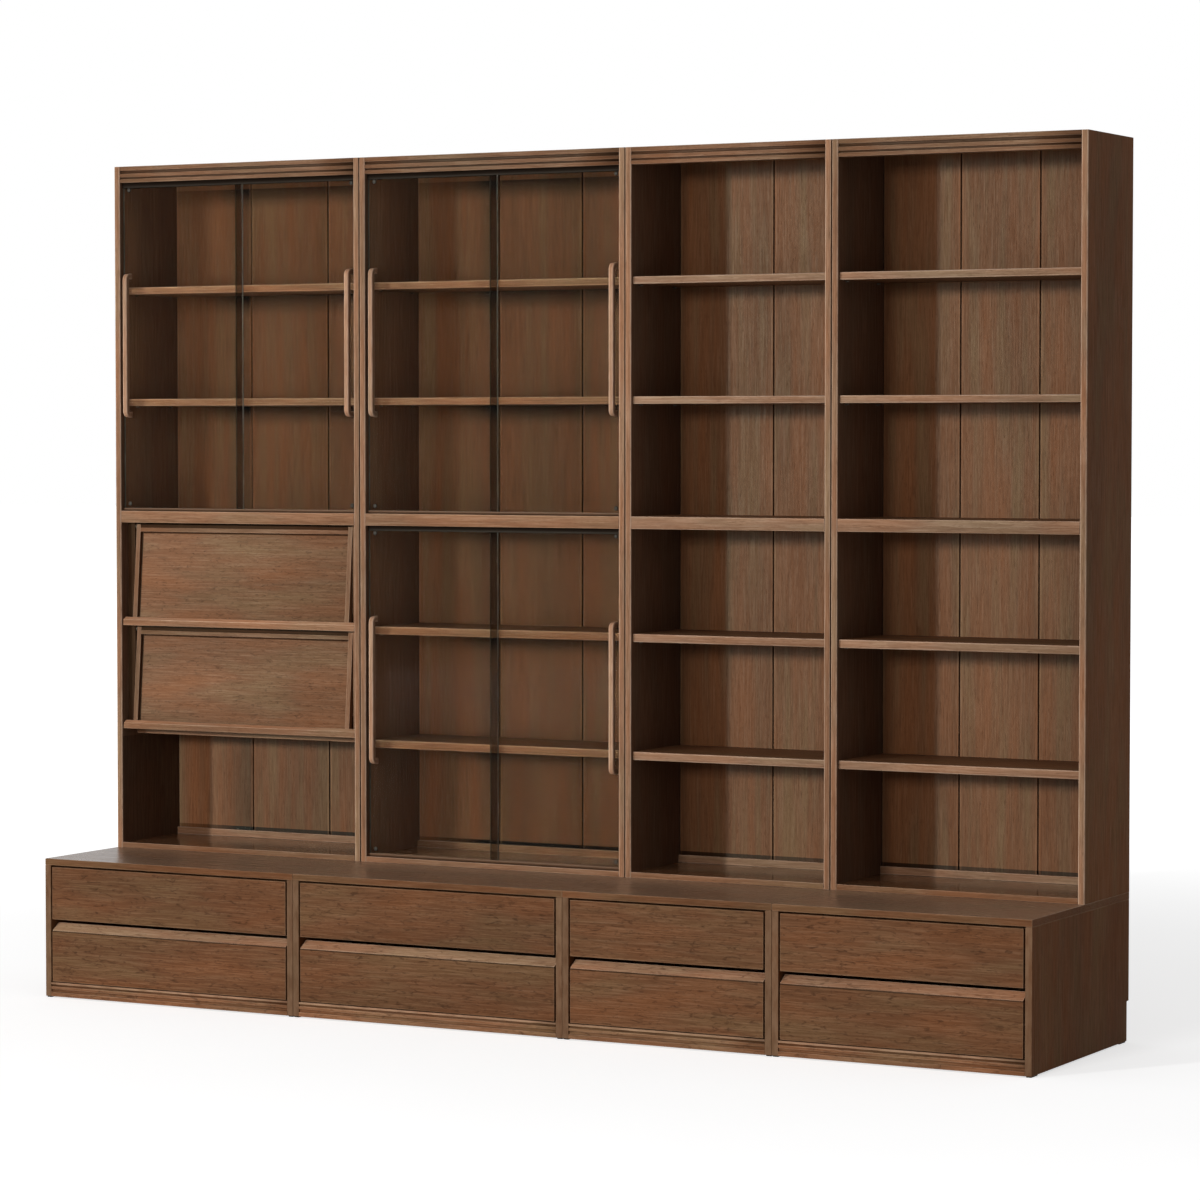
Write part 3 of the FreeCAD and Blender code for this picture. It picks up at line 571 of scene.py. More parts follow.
glass = panes()
glass_edge = pane_edges()
# Near black for the upper tracks: partly the plastic's own colour, partly painted shade under the
# head.
track_plastic_and_shade = plain("dark_track", (0.016, 0.010, 0.007), (0.010, 0.006, 0.004), 0.5, 500.0,
                      specular=0.05)
brown_plastic = plain("brown_track", (0.150, 0.082, 0.048), (0.110, 0.058, 0.033), 0.5, 500.0,
                      specular=0.15)
bumper_plastic = plain("grey_plastic", (0.040, 0.034, 0.029), (0.028, 0.024, 0.020), 0.4, 700.0,
                       specular=0.05)
pad_felt = plain("black_pad", (0.030, 0.028, 0.027), (0.012, 0.011, 0.011), 0.9, 900.0,
                 specular=0.1, strength=0.8, height=0.4 * MM)
steel = plain("pin_steel", (0.20, 0.17, 0.14), (0.13, 0.11, 0.09), 0.35, 900.0, metal=1.0,
              strength=0.15, stretch=(0.1, 1, 1))


# -------- stain, painted light and painted shade

EDGE_HIGHLIGHT = 2.6        # painted highlight: a shelf's front edge is paler than the board's face
PAINTED_SHADE_TONE = -6.5     # painted shade in grooves, gaps and corners


def front_edge(at, amount=EDGE_HIGHLIGHT, fade=0.0, middle=0.0, height=0.0, slope=0.0):
    """Adds tone to faces in the plane y = at, which may fade to the right and downwards as painted
    light from the top left.
    """
    def light(centre, normal, corner):
        if abs(normal.y) < 0.6 or abs(centre.y - at) > 4 * MM:
            return 0.0
        return amount - fade * (corner.x - middle) + slope * (corner.z - height)
    return light


LOW_GROOVE = 0.025     # the plinths' lower groove is below this, and its bottom gets less painted shade


def moulded(at, amount, groove):
    """A paler face with grooves darkened as painted shade."""
    def light(centre, normal, corner):
        if at + 1.5 * MM < centre.y < at + 6 * MM:
            return groove if normal.y > -0.6 or centre.z > LOW_GROOVE else groove + 3.0
        return amount if abs(normal.y) > 0.6 and centre.y < at + 1.5 * MM else 0.0
    return light


NICHE_TOP = BASE + 0.312


def stile_light(x0, x1, seam):
    """A side board's front has a painted highlight, paler to the left, and is dark in the seam with
    its neighbour.

    The left wall of the niche in unit 1 is painted darker than the other walls, as painted shade.
    """
    def light(centre, normal, corner):
        if centre.y > HUTCH_FRONT + 4 * MM:
            in_niche = x1 == IN_L[1] and normal.x > 0.9 and centre.z < NICHE_TOP
            return -3.0 if in_niche else 0.0
        if seam is not None and abs(centre.x - seam) < 2.2 * MM and normal.y > -0.97:
            return -5.0
        return EDGE_HIGHLIGHT + 4.0 + 2.4 * (1 - 2 * (corner.x - x0) / (x1 - x0))
    return light


CHAMFER = 2.5 * MM     # of the planks' edges
SHADE = 0.055          # height of the painted shadow under each shelf behind glass


def plank_light(x0, x1, slope, feet):
    """The faces beside a plank's edges get a painted highlight, and stain fills the joints between
    them.

    The front changes from left to right by slope, as painted light, and has a painted shadow
    below the feet of shelves. The rear stays plain.
    """
    def light(centre, normal, corner):
        if normal.y > 0.9:
            return 0.0
        from_edge = min(centre.x - x0, x1 - centre.x)
        if from_edge < 0.9 * CHAMFER and centre.y < BACK_FACE + CHAMFER:
            return -5.5
        tone = 2.0 if from_edge < 3 * CHAMFER and normal.y < -0.9 else 0.0
        for foot in feet:
            if foot - SHADE < centre.z < foot:
                tone -= 5.6 * (1 - (foot - corner.z) / SHADE)
        return tone + slope * (corner.x - (x0 + x1) / 2)
    return light


# -------- shelving

# Heights above the base.
FLOOR_TOP = 0.015
MIDDLE_TOP = 0.943
MIDDLE = 0.033
MIDDLE_FOOT = MIDDLE_TOP - MIDDLE
CORNICE = 0.045
HEAD = HUTCH - CORNICE
SHELVES = ((1.566, 0.020), (1.255, 0.020), (0.637, 0.022), (0.329, 0.022))  # tops, thicknesses

# The strips beside the flaps, and how far back the space behind the flaps begins.
CHEEK = 0.024
CHEEK_SETBACK = 0.032
CHEEK_FOOT = BASE + 0.336
BEHIND_FLAPS = 0.058


def hutch_sides():
    for side, way, start in (("left", 1, OUT_L), ("right", -1, IN_R)):
        piece = Piece(f"hutch_sides_{side}_boards")
        for u in UNITS:
            x0, x1 = start[u], start[u] + BOARD
            outline = [(x0, HUTCH_FRONT), (x1, HUTCH_FRONT), (x1, WALL), (x0, WALL)]
            seam = x0 if side == "left" else x1
            if (side, u) in (("left", UNITS[0]), ("right", UNITS[-1])):
                seam = None
            piece.extrude(rounded(outline, [3.2, 3.2, 1.0, 1.0], 4), "z", BASE, TOP, spread=0.7,
                          light=stile_light(x0, x1, seam),
                          bands=[(BASE + FLOOR_TOP, NICHE_TOP, 0.0)] if u == 1 else ())
        # Inner and outer faces take the copies of the walnut made for faces in shade.
        piece.paint(1, lambda normal: way * normal.x > 0.9)
        piece.paint(2, lambda normal: way * normal.x < -0.9)
        # The cheeks beside the flaps: the left one painted dark as painted shade, the right one
        # paler as painted light.
        x0 = IN_L[1] if side == "left" else IN_R[1] - CHEEK
        piece.board((x0, HUTCH_FRONT + CHEEK_SETBACK, CHEEK_FOOT),
                    (x0 + CHEEK, HUTCH_FRONT + BEHIND_FLAPS, BASE + MIDDLE_FOOT), "z",
                    tone=-6.0 if side == "left" else 3.0, spread=0.2)
        piece.make([matt, inner, outer])


def hutch_board(piece, u, setback, top, thick, gap=0.0, arris=1.4, edge_highlight=EDGE_HIGHLIGHT,
                fade=0.0, **options):
    """A level board between a unit's sides, whose front edge has a painted highlight that gets
    darker downwards.
    """
    y0 = HUTCH_FRONT + setback
    z1 = BASE + top
    light = front_edge(y0, edge_highlight, fade, (IN_L[u] + IN_R[u]) / 2, z1 - thick / 2, 130.0)
    piece.board((IN_L[u] + gap, y0, z1 - thick), (IN_R[u] - gap, BACK_FACE, z1), "x", arris,
                light=light, **options)


GLASS_SETBACK = 0.040
OPEN_SETBACK = 0.011
SHELF_GAP = 0.5 * MM
PIN_PROFILE = ((0, 0), (0, 2.5), (2.0, 2.5), (2.2, 2.1), (8.4, 2.1), (9.0, 1.5), (9.0, 0))


def loose_shelves(u):
    """Setback, top and thickness of a unit's shelves. Unit 1 has its flaps before two of them."""
    if u == 1:
        return [(GLASS_SETBACK, *SHELVES[0]), (GLASS_SETBACK, *SHELVES[1]),
                (BEHIND_FLAPS, 0.629, 0.019), (0.074, 0.335, 0.019)]
    return [(GLASS_SETBACK if u in GLAZED else OPEN_SETBACK, *shelf) for shelf in SHELVES]


def shelves_and_pins():
    pins = Piece("shelf_pins_turned")
    for u in UNITS:
        piece = Piece(f"hutch_shelves_{u}_boards")
        for setback, top, thick in loose_shelves(u):
            is_open = setback == OPEN_SETBACK
            hutch_board(piece, u, setback, top, thick, SHELF_GAP, 3.0, spread=0.8,
                        edge_highlight=5.8 if is_open else EDGE_HIGHLIGHT, fade=5.0 if is_open else 1.5)
            z = BASE + top - thick - 2.5 * MM
            for x, way in ((IN_L[u], 1), (IN_R[u], -1)):
                for y in (HUTCH_FRONT + setback + 0.037, BACK_FACE - 0.037):
                    pins.lathe((x, y, z), "x", way, PIN_PROFILE, 20)
        piece.make([walnut])
    pins.make([steel], "pin_steel")


PLANKS = {1: 3, 2: 3, 3: 2, 4: 3}
PLANK = 0.012
STRIP_TOP = 0.035      # of the strip along the planks' foot, above the base
HEAD_SHADE = HEAD - 0.009
SHELF_FEET = [top - thick for top, thick in SHELVES]
SHADED = {1: [HEAD_SHADE, *SHELF_FEET[:2]],
          2: [HEAD_SHADE, *SHELF_FEET[:2], MIDDLE_FOOT, *SHELF_FEET[2:]]}


def planks(piece, u):
    """A unit's back boards, with chamfered joints between them."""
    feet = [BASE + foot for foot in SHADED.get(u, ())]
    # Behind glass the first plank is painted paler and the others darker, as painted light and
    # shade.
    tones = (2.0, -1.5, -1.5) if u in GLAZED else (-0.6, 0.2, 0.0)
    width = (IN_R[u] - IN_L[u]) / PLANKS[u]
    # A painted shade line above the foot strip, and rings for the painted shadows under the
    # shelves.
    bands = [(BASE + STRIP_TOP, BASE + STRIP_TOP + 0.010, PAINTED_SHADE_TONE)]
    bands += [(foot - SHADE, foot, 0.0) for foot in feet]
    for k in range(PLANKS[u]):
        x0 = IN_L[u] + k * width
        x1 = x0 + width
        y0, y1, c = BACK_FACE, BACK_FACE + PLANK, CHAMFER
        outline = [(x0 + c, y0), (x0 + 3 * c, y0), (x1 - 3 * c, y0), (x1 - c, y0),
                   (x1, y0 + c), (x1, y1), (x0, y1), (x0, y0 + c)]
        # The first plank behind glass is painted paler to the left, as painted light.
        slope = -48.0 if u in GLAZED and k == 0 else 0.0
        piece.extrude(rounded(outline, [0.8, 0, 0, 0.8, 0, 0.5, 0.5, 0]), "z", BASE, TOP,
                      tone=tones[k], spread=0.7, light=plank_light(x0, x1, slope, feet),
                      bands=bands)


GROOVE = 0.004         # depth of the grooves in the cornices and plinths


def moulding(piece, u, corner, far_corner, grooves, foot_radius, tone, groove_shade):
    """A board across a unit's front, with grooves in its face from one height to another."""
    (y0, z0), (y1, z1) = corner, far_corner
    outline = [(y0, z0), (y1, z0), (y1, z1), (y0, z1)]
    radii = [foot_radius, 0.8, 0.8, 1.2]
    for high, low in grooves:
        outline += [(y0, high), (y0 + GROOVE, high), (y0 + GROOVE, low), (y0, low)]
        radii += [1.0, 0, 0, 1.0]
    piece.extrude(rounded(outline, radii), "x", IN_L[u], IN_R[u], end_round=0, spread=0.4,
                  light=moulded(y0, tone, groove_shade))


def hutch_carcass():
    tops, middles, floors, strips, backs, cornices = (Piece(f"hutch_{name}") for name in (
        "tops_boards", "middle_shelves_boards", "floors_boards", "foot_strips_boards",
        "back_boards_planks", "cornices_mouldings"))
    for u in UNITS:
        glazed = u in GLAZED
        glazed_floor = u == 2
        hutch_board(tops, u, 0.036, HUTCH, BOARD, tone=-0.5)
        hutch_board(middles, u, 0.0, MIDDLE_TOP, MIDDLE, arris=2.2, spread=0.4, tone=0.8,
                    edge_highlight=3.6 if glazed else 4.0, fade=2.0, slot=1 if glazed else 0)
        hutch_board(floors, u, 0.0, FLOOR_TOP, FLOOR_TOP, spread=0.5,
                    tone=5.0 if glazed_floor else 0.0,
                    edge_highlight=0.0 if glazed_floor else EDGE_HIGHLIGHT)
        strips.board((IN_L[u], BACK_FACE - 0.008, BASE + FLOOR_TOP),
                     (IN_R[u], BACK_FACE, BASE + STRIP_TOP), "x",
                     tone=4.5 if glazed_floor else 4.0, spread=0.4)
        planks(backs, u)
        foot = BASE + HEAD
        moulding(cornices, u, (HUTCH_FRONT, foot), (HUTCH_FRONT + 0.036, TOP),
                 ((TOP - 0.012, TOP - 0.020), (foot + 0.015, foot + 0.010)), 1.4, 2.2, -5.0)
    floors.paint(1, lambda normal: normal.z < 0.9)
    tops.make([walnut])
    middles.make([walnut, ruddy])
    floors.make([polished, matt])
    strips.make([walnut])
    backs.make([plank])
    cornices.make([walnut])


# -------- base

PAD = 0.003            # thickness of the pads under the side boards
TOP_FOOT = BASE - BOARD
SKIRTING = 0.104       # height of the cut-out for the wall's skirting
BACK_PANEL = WALL - 0.021
BOTTOM_FOOT = 0.025


def base_top_light(u):
    """The upper face is painted pale as a painted sheen, and the front edge fades to the right as
    painted light.
    """
    edge = front_edge(FRONT, -0.2, 1.4, (OUT_L[u] + OUT_R[u]) / 2)
    top_sheen = 4.6 if u == 1 else 6.6

    def light(centre, normal, corner):
        return top_sheen if normal.z > 0.9 else edge(centre, normal, corner)
    return light


def base_side(sides, feet, x0):
    """A side board with the skirting's cut-out at its rear, on two pads."""
    x1 = x0 + BOARD
    rear, arc = WALL - 0.013, 0.004
    outline = [(FRONT, PAD), (rear, PAD), (rear, SKIRTING - arc), (rear, SKIRTING),
               (rear + arc, SKIRTING), (WALL, SKIRTING), (WALL, TOP_FOOT), (FRONT, TOP_FOOT)]
    sides.extrude(rounded(outline, [1.8, 1.8, 0, 0, 0, 1.8, 1.8, 1.8]), "x", x0, x1, grain="z",
                  end_round=1.6, light=front_edge(FRONT, -2.4), spread=0.5)
    for y0 in (FRONT + 0.004, rear - 0.044):
        feet.board((x0 + 0.002, y0, 0), (x1 - 0.002, y0 + 0.040, PAD), "y", 0.8)


def base_carcass():
    sides, feet, tops, bottoms, backs, plinths = (Piece(f"base_{name}") for name in (
        "sides_boards", "feet_pads", "tops_boards", "bottoms_boards", "backs_panels",
        "plinths_mouldings"))
    runners = Piece("drawer_runners_strips")
    for u in UNITS:
        for x0 in (OUT_L[u], IN_R[u]):
            base_side(sides, feet, x0)
        tops.board((OUT_L[u], FRONT, TOP_FOOT), (OUT_R[u], WALL, BASE), "x", 1.8, end_round=1.2,
                   light=base_top_light(u), spread=0.4)
        bottoms.board((IN_L[u], FRONT + BOARD, BOTTOM_FOOT), (IN_R[u], BACK_PANEL, 0.040), "x")
        backs.board((IN_L[u], BACK_PANEL, BOTTOM_FOOT), (IN_R[u], BACK_PANEL + 0.006, TOP_FOOT),
                    "x", 0.8)
        moulding(plinths, u, (FRONT, PAD), (FRONT + BOARD, 0.042),
                 ((0.036, 0.031), (0.023, 0.015)), 1.0, 4.6, -1.8)
        for level in LEVELS:
            z0 = BOX_FOOT[level] + 0.050
            for x0 in (IN_L[u], IN_R[u] - 0.009):
                runners.board((x0, FRONT + 0.042, z0), (x0 + 0.009, FRONT + 0.568, z0 + 0.014),
                              "y", 1.0)
    sides.paint(1, lambda normal: abs(normal.x) > 0.9)
    tops.paint(1, lambda normal: normal.z < 0.9)
    sides.make([matt, outer])
    feet.make([pad_felt], "black_pad")
    tops.make([satin, matt])
    bottoms.make([walnut])
    backs.make([walnut])
    plinths.make([rustic])
    runners.make([lining], "drawer_lining")


# -------- drawers

LEVELS = ("lower", "upper")
BOX_FOOT = {"lower": 0.056, "upper": 0.226}
FRONT_THICK = 0.020
PULL_FOOT = 0.180      # where the lower front's finger pull begins to slope up
BOX_HEIGHT = 0.100
BOX_LENGTH = 0.560
BOX_WALL = 0.012
RUN = (0.0497, 0.0643)     # height of the runners' groove above the box's foot
RUN_DEPTH = 0.0073
RUN_START = 0.0217     # the groove stops this far behind the front


def pull_light(centre, normal, corner):
    """The finger pull, which faces up, is painted pale as painted light, over a painted shade line
    along its arris.
    """
    if normal.z > 0.5 and centre.y < FRONT + 0.031:
        return 14.0
    return -5.0 if centre.z > PULL_FOOT and centre.y < FRONT + 0.002 else 0.0


def drawer_front(u, level):
    piece = Piece(f"drawer_front_{level}_{u}_board")
    y0, y1 = FRONT, FRONT + FRONT_THICK
    if level == "lower":
        outline = [(y0, 0.044), (y1, 0.044), (y1, PULL_FOOT), (y1 + 0.011, PULL_FOOT + 0.011),
                   (y1 + 0.011, 0.204), (y0, 0.184), (y0, PULL_FOOT)]
        radii = [1.8, 1.8, 0.5, 1.8, 1.8, 1.8, 0]
    else:
        outline = [(y0, 0.214), (y1, 0.214), (y1, 0.3575), (y0, 0.3575)]
        radii = 1.8
    piece.extrude(rounded(outline, radii, 4), "x", IN_L[u] + 0.0045, IN_R[u] - 0.0045,
                  end_round=1.6, spread=0.5, light=pull_light if level == "lower" else None)
    piece.make([rustic])


def drawer_box(u, level):
    piece = Piece(f"drawer_box_{level}_{u}_boards")
    left, right = IN_L[u] + 0.002, IN_R[u] - 0.002
    y0 = FRONT + FRONT_THICK
    y1 = y0 + BOX_LENGTH
    z0 = BOX_FOOT[level]
    z1 = z0 + BOX_HEIGHT
    low, high = z0 + RUN[0], z0 + RUN[1]
    for x, way in ((left, 1), (right, -1)):
        face, deep = x + way * BOX_WALL, x + way * RUN_DEPTH
        section = [(x, z0), (face, z0), (face, z1), (x, z1)]
        radii = [0.8, 0.8, 2.5, 2.5]
        piece.extrude(rounded(section, radii), "y", y0, y0 + RUN_START, end_round=0)
        section += [(x, high), (deep, high), (deep, low), (x, low)]
        radii += [0.6, 0, 0, 0.6]
        piece.extrude(rounded(section, radii), "y", y0 + RUN_START, y1, end_round=0)
    x0, x1 = left + BOX_WALL, right - BOX_WALL
    for near in (y0, y1 - BOX_WALL):
        piece.board((x0, near, z0), (x1, near + BOX_WALL, z1), "x", 1.2)
    piece.board((x0, y0 + BOX_WALL, z0 + 0.006), (x1, y1 - BOX_WALL, z0 + 0.012), "x", 0.5,
                end_round=0.4)
    piece.make([lining], "drawer_lining")


# -------- sliding doors

# A pair's unit, and the heights of its lower track's foot and its upper track's head.
DOOR_PAIRS = {"upper_1": (1, MIDDLE_TOP, HEAD), "upper_2": (2, MIDDLE_TOP, HEAD),
              "lower_2": (2, FLOOR_TOP, MIDDLE_FOOT)}
LOWER_TRACK = 0.008
UPPER_TRACK = 0.014
TRACK = 0.022
TRACK_WALL = 0.002
CHANNELS = ((0.002, 0.009), (0.013, 0.020))


def tracks():
    """Strips with a channel for each of a pair's panes."""
    piece = Piece("door_tracks_strips")
    y0 = HUTCH_FRONT + 0.013
    radii = [0, 0.6, 0.6, 0.4, 0.4, 0.8, 0.8, 0.4, 0.4, 0.6, 0.6, 0]
    for u, foot, head in DOOR_PAIRS.values():
        for closed, way, height, slot in ((BASE + foot, 1, LOWER_TRACK, 1),
                                          (BASE + head, -1, UPPER_TRACK, 0)):
            rim = closed + way * height
            floor = closed + way * TRACK_WALL
            outline = [(y0, closed), (y0, rim)]
            for near, far in CHANNELS:
                outline += [(y0 + near, rim), (y0 + near, floor), (y0 + far, floor),
                            (y0 + far, rim)]
            outline += [(y0 + TRACK, rim), (y0 + TRACK, closed)]
            piece.extrude(rounded(outline, radii, 2), "x", IN_L[u], IN_R[u], end_round=0,
                          uneven=0.0, slot=slot)
    piece.make([track_plastic_and_shade, brown_plastic], "dark_track")


HANDLE_REACH = 0.028
HANDLE_LENGTH = 0.402
HALF_BAR = 0.007
HALF_FOOT = 0.0085     # the bar widens to this where it meets the glass
HANDLE_BEND = 0.0105   # radius of its middle line
HANDLE_TONE = 10.0


def handle_line(face, foot):
    """Points (y, z) from one end of a handle's middle line to the other, and its bar's place."""
    low, high = foot + HALF_FOOT, foot + HANDLE_LENGTH - HALF_FOOT
    out = face - HANDLE_REACH + HALF_BAR
    quarter = [math.pi / 2 * k / 8 for k in range(9)]
    end = [(face, 0), (face - 0.004, 0)]
    end += [(out + HANDLE_BEND * (1 - math.sin(t)), HANDLE_BEND * (1 - math.cos(t)))
            for t in quarter]
    line = [(y, low + rise) for y, rise in end]
    straight = high - low - 2 * HANDLE_BEND
    line += [(out, low + HANDLE_BEND + straight * k / 12) for k in range(1, 12)]
    return line + [(y, high - rise) for y, rise in reversed(end)]


def bow_handle(name, x, face, foot):
    """A bar bent back to the glass at both ends, swept as one rounded section."""
    piece = Piece(f"{name}_bow")
    line = handle_line(face, foot)
    coordinates = cut_from_log((x - HALF_BAR, face - HANDLE_REACH, foot),
                               (x + HALF_BAR, face, foot + HANDLE_LENGTH), 2)
    own_tone = 0.5 * dice.uniform(-1, 1) + HANDLE_TONE
    half = HALF_BAR
    corners = [(-half, -half), (half, -half), (half, half), (-half, half)]
    section = rounded(corners, 3.4, 4)[0]
    rings = []
    for i, (y, z) in enumerate(line):
        ahead = Vector(line[min(i + 1, len(line) - 1)])
        behind = Vector(line[max(i - 1, 0)])
        direction = (ahead - behind).normalized()
        across = Vector((direction.y, -direction.x))
        near_foot = max(0.0, 1 - abs(face - y) / 0.012)
        widening = 1 + (HALF_FOOT / half - 1) * near_foot ** 2
        first = len(piece.verts)
        for p in section:
            offset = across * p.y * widening
            piece.add_vert((x + p.x, y + offset.x, z + offset.y), coordinates)
        rings.append(list(range(first, len(piece.verts))))

    # Painted light: the bar is paler to the left and darker to the right.
    def painted_light_from_left(centre, normal, corner):
        return 3.6 * (x - centre.x) / half

    for one, two in zip(rings, rings[1:]):
        for i, j in enumerate(following(list(range(len(section))))):
            worn = 0.7 if (section[i] - section[j]).length < 3 * MM else 0.15
            piece.add_face([one[i], one[j], two[j], two[i]], own_tone, worn, painted_light_from_left)
    piece.add_face(rings[0], own_tone, 0.0)
    piece.add_face(rings[-1], own_tone, 0.0)
    piece.make([walnut], node=f"{name}_handle")


PANE_GROUND = 0.7
SEAL = 0.024           # width of the strip of a pane that overlaps its partner
BUMPER_RADIUS = 0.006
BUMPER_PROFILE = ((0, 0), (0, 5.6), (0.4, 6.0), (1.6, 6.0), (2.3, 5.6), (2.75, 4.6), (3.0, 3.0),
                  (3.0, 0))


def door(pair, side):
    name = f"door_{pair}_{side}"
    lo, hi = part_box(f"{name}_glass")
    seal = hi.x - SEAL if side == "left" else lo.x + SEAL
    outline = [(lo.x, lo.y), (seal, lo.y), (hi.x, lo.y), (hi.x, hi.y), (seal, hi.y), (lo.x, hi.y)]
    radii = [PANE_GROUND, 0, PANE_GROUND, PANE_GROUND, 0, PANE_GROUND]

    def overlap(centre, normal, corner):
        """The left pane is darker where it overlaps its partner."""
        return -1.0 if side == "left" and centre.x > seal and abs(normal.y) > 0.99 else 0.0

    pane = Piece(f"{name}_pane")
    pane.extrude(rounded(outline, radii, 2), "z", lo.z, hi.z, end_round=PANE_GROUND, uneven=0.0,
                 spread=0.0, light=overlap)
    pane.paint(1, lambda normal: abs(normal.y) < 0.99)
    pane.make([glass, glass_edge], "clear_glass", f"{name}_glass")

    face = lo.y
    lo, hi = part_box(f"{name}_handle")
    bow_handle(name, (lo.x + hi.x) / 2, face, lo.z)

    bumpers = Piece(f"{name}_bumpers_round")
    lo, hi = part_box(f"{name}_bumpers")
    for z in (lo.z + BUMPER_RADIUS, hi.z - BUMPER_RADIUS):
        bumpers.lathe(((lo.x + hi.x) / 2, face, z), "y", -1, BUMPER_PROFILE, 36)
    bumpers.make([bumper_plastic], "grey_plastic")


# -------- display flaps

PIVOT_Y = HUTCH_FRONT + 0.042
FLAPS = {1: (1.279, 0.260), 2: (0.992, 0.262)}     # height of the pivot, height of the face
TILT = math.radians(4.56)
FLAP_BOARD = 0.018
STILE = 0.014
RAIL = 0.021
PANEL_BEVEL = 4.5 * MM
PIVOT_PROFILE = ((0, 0), (0, 7.0), (1.5, 7.0), (2.0, 6.5), (2.0, 3.0), (10.5, 3.0), (11.0, 2.5),
                 (11.0, 0))
BLOCK = 0.012


def tilted(y, z):
    """Leans the flaps back about a line at (y, z)."""
    return (Matrix.Translation((0, y, z)) @ Matrix.Rotation(-TILT, 4, "X")
            @ Matrix.Translation((0, -y, -z)))


def flap_frame(number, left, right, top, foot, face):
    """Two stiles and a bevelled rail around the panel, over the ledge."""
    middle = (left + right) / 2
    piece = Piece(f"flap_{number}_frame_boards")
    piece.turn = tilted(PIVOT_Y, FLAPS[number][0])

    def beside_panel_shade(centre, normal, corner):
        """Painted shade on the stiles' inner edges, in front of the panel."""
        facing_in = normal.x * (centre.x - middle) < 0
        return PAINTED_SHADE_TONE if abs(normal.x) > 0.8 and facing_in else 0.0

    def rail_bevel_shade(centre, normal, corner):
        # Painted shade on the rail's top bevel, in the gap under the shelf above.
        return -7.4 if normal.z > 0.25 and normal.y < 0 else 0.0

    def ledge_bevel_highlight(centre, normal, corner):
        # Painted highlight on the ledge's top bevel.
        return 9.0 if normal.z > 0.3 and normal.y < -0.2 else 0.0

    for x0 in (left, right - STILE):
        piece.board((x0, face, foot), (x0 + STILE, face + FLAP_BOARD, top), "z", 1.6,
                    tone=2.2, spread=0.3, light=beside_panel_shade)
    y1 = face + FLAP_BOARD
    outline = [(face, top - RAIL), (y1, top - RAIL), (y1, top), (face + 0.004, top),
               (face, top - 0.010)]
    piece.extrude(rounded(outline, 0.9), "x", left + STILE, right - STILE, end_round=0,
                  tone=2.2, spread=0.3, light=rail_bevel_shade)
    y0, y1 = face - 0.010, face + 0.012
    outline = [(y0, foot - 0.024), (y1, foot - 0.024), (y1, foot), (face, foot),
               (y0, foot - 0.008)]
    piece.extrude(rounded(outline, [2.0, 1.0, 1.0, 1.0, 1.6]), "x", IN_L[1] + 0.002,
                  IN_R[1] - 0.002, tone=4.2 if number == 1 else 2.6, spread=0.3, end_round=1.0,
                  slot=1, light=ledge_bevel_highlight)
    piece.make([walnut, ruddy])


def flap_panel(number, left, right, top, foot, face):
    """The recessed panel, bevelled at its top and sides."""
    middle = (left + right) / 2
    piece = Piece(f"flap_{number}_panel_board")
    piece.turn = tilted(PIVOT_Y, FLAPS[number][0])
    y0, y1, z1 = face + 0.010, face + FLAP_BOARD, top - RAIL
    outline = [(y0, foot), (y1, foot), (y1, z1), (y0 + MM, z1), (y0, z1 - PANEL_BEVEL)]

    def shading(centre, normal, corner):
        """A painted shade line along the top and left edges, and a face painted paler to the top
        and left, as painted light.
        """
        at_top = normal.z > 0.12 and centre.z > z1 - PANEL_BEVEL - 0.02
        if at_top or centre.x < left + STILE + PANEL_BEVEL:
            return PAINTED_SHADE_TONE
        return 4.0 * (corner.z - (foot + z1) / 2) - 2.6 * (corner.x - middle)

    piece.extrude(rounded(outline, 0), "x", left + STILE, right - STILE, tone=1.8, spread=0.3,
                  ends=[(0, 0.9 * MM), (PANEL_BEVEL, 0)], light=shading)
    piece.make([figured])


def flap(number):
    pivot_z, face_height = FLAPS[number]
    top = pivot_z + 0.006
    sizes = (IN_L[1] + CHEEK + 0.003, IN_R[1] - CHEEK - 0.003, top, top - face_height,
             PIVOT_Y - 0.006)
    flap_frame(number, *sizes)
    flap_panel(number, *sizes)


def flap_hardware():
    """Pivots on the strips beside the flaps, and the blocks that the flaps close against."""
    piece = Piece("flap_hardware_fittings")
    y0 = PIVOT_Y + 0.012 + 0.0003
    for z, _ in FLAPS.values():
        for x, way in ((IN_L[1] + CHEEK, 1), (IN_R[1] - CHEEK, -1)):
            piece.lathe((x, PIVOT_Y, z), "x", way, PIVOT_PROFILE, 32)
        piece.turn = tilted(PIVOT_Y, z)
        for x0 in (IN_L[1] + CHEEK, IN_R[1] - CHEEK - BLOCK):
            piece.board((x0, y0, z - 0.220), (x0 + BLOCK, y0 + BLOCK, z - 0.180), "z", 1.0,
                        slot=1)
        piece.turn = None
    piece.make([steel, walnut], "pin_steel")


hutch_sides()
shelves_and_pins()
hutch_carcass()
base_carcass()
for unit in UNITS:
    for drawer_level in LEVELS:
        drawer_front(unit, drawer_level)
        drawer_box(unit, drawer_level)
tracks()
for door_pair in DOOR_PAIRS:
    for door_side in ("left", "right"):
        door(door_pair, door_side)
for flap_number in FLAPS:
    flap(flap_number)
flap_hardware()


# -------- studio

WHITE = (1, 1, 1)
WORLD_FILL = 0.32
FLOOR_SIZE = 60.0
NEAR_GLOW = 0.60       # the floor's own white near the object, where it shows the shadow
FAR_GLOW = 0.95


def in_view(n):
    """1 for what the camera sees directly, in a mirror image or through glass."""
    light = n.add("LightPath")
    return n.math("MAXIMUM", light.outputs["Is Camera Ray"],
                  n.math("MAXIMUM", light.outputs["Is Glossy Ray"],
                         light.outputs["Is Transmission Ray"]))


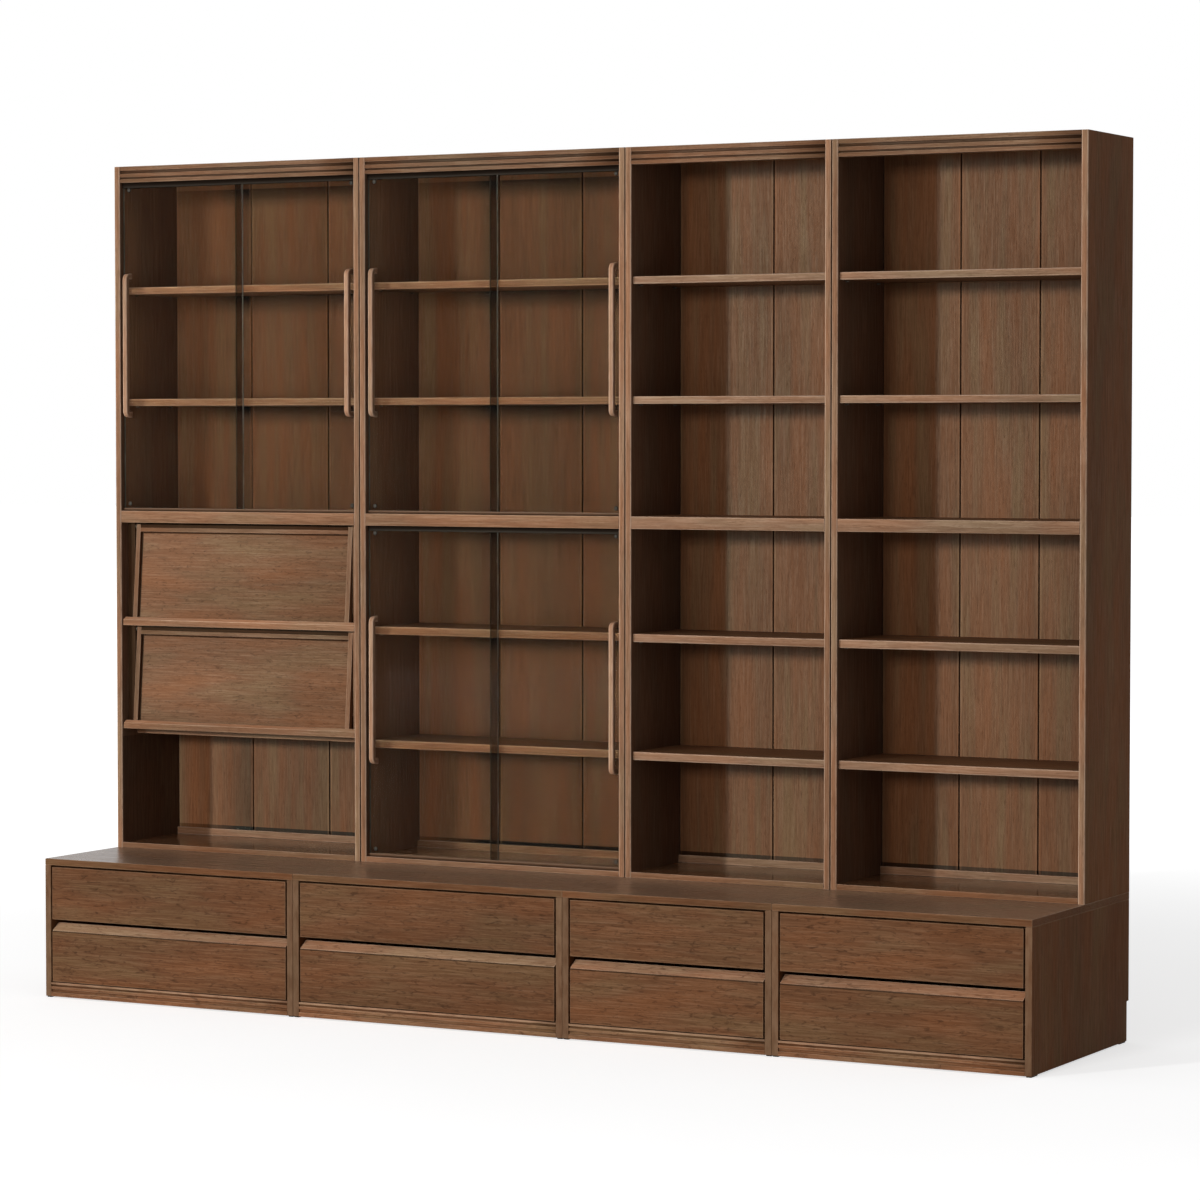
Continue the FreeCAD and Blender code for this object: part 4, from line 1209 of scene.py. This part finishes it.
def studio_floor():
    n = Nodes(bpy.data.materials.new("studio_floor"))
    cloud = n.noise(n.place(), scale=1.5)
    colour = n.mix(n.range(cloud, 0.3, 0.7), (0.80, 0.80, 0.80), (0.82, 0.82, 0.82))
    away = n.add("VectorMath", operation="LENGTH")
    n.link(n.place(), away.inputs[0])
    level = n.range(away.outputs["Value"], 2.0, 7.0, NEAR_GLOW, FAR_GLOW, "SMOOTHSTEP")
    dull = n.node("BsdfPrincipled", Base_Color=colour, Roughness=0.9, Specular_IOR_Level=0.0)
    glow = n.node("Emission", Color=WHITE, Strength=n.times(in_view(n), level))
    mesh = bpy.data.meshes.new("studio_floor")
    corners = [(x * FLOOR_SIZE, y * FLOOR_SIZE, 0) for x, y in ((-1, -1), (1, -1), (1, 1), (-1, 1))]
    mesh.from_pydata(corners, [], [(0, 1, 2, 3)])
    mesh.materials.append(n.finish(n.join("AddShader", dull, glow)))
    put("studio_floor", mesh)


def studio_world():
    n = Nodes(bpy.data.worlds.new("studio_world"), "OutputWorld")
    fill = n.node("Background", Color=WHITE, Strength=WORLD_FILL)
    white = n.node("Background", Color=WHITE, Strength=1.0)
    bpy.context.scene.world = n.finish(n.join("MixShader", in_view(n), fill, white))


def lamp(name, place, target, size, size_y, power, mirrored=True, scattered=True,
         colour=WHITE):
    """An area lamp that may be left out of what gloss mirrors, or of matt light."""
    light = bpy.data.lights.new(name, "AREA")
    light.shape = "RECTANGLE"
    light.size = size
    light.size_y = size_y
    light.energy = power
    light.color = colour
    thing = put(name, light)
    thing.location = place
    direction = Vector(target) - Vector(place)
    thing.rotation_euler = direction.to_track_quat("-Z", "Y").to_euler()
    thing.visible_glossy = mirrored
    thing.visible_transmission = False
    thing.visible_diffuse = scattered


def camera():
    """The photograph's viewpoint, from a perspective fit of the object's corners."""
    data = bpy.data.cameras.new("photo_camera")
    data.lens = 118.748
    data.sensor_width = 36.0
    data.sensor_fit = "HORIZONTAL"
    data.clip_end = 200.0
    thing = put("photo_camera", data)
    thing.location = (4.987, -9.088, 1.538)
    yaw, pitch = 0.4934, -0.0420
    thing.rotation_euler = (math.pi / 2 + pitch, 0.0, yaw)
    bpy.context.scene.camera = thing


studio_floor()
studio_world()
lamp("key_strip", (-7.4, -14.0, 3.4), (0.2, 0.1, 1.3), 0.55, 1.1, 1170, mirrored=False)
lamp("sheen", (-6.95, -14.0, 2.6), (1.0, 0.1, 1.3), 0.6, 2.2, 3800, scattered=False,
     colour=(1.0, 0.99, 0.78))
lamp("front_fill", (-0.3, -14.0, 3.4), (0.0, 0.1, 1.2), 2.6, 1.8, 650, mirrored=False)
camera()
bpy.context.scene.view_settings.view_transform = "Standard"
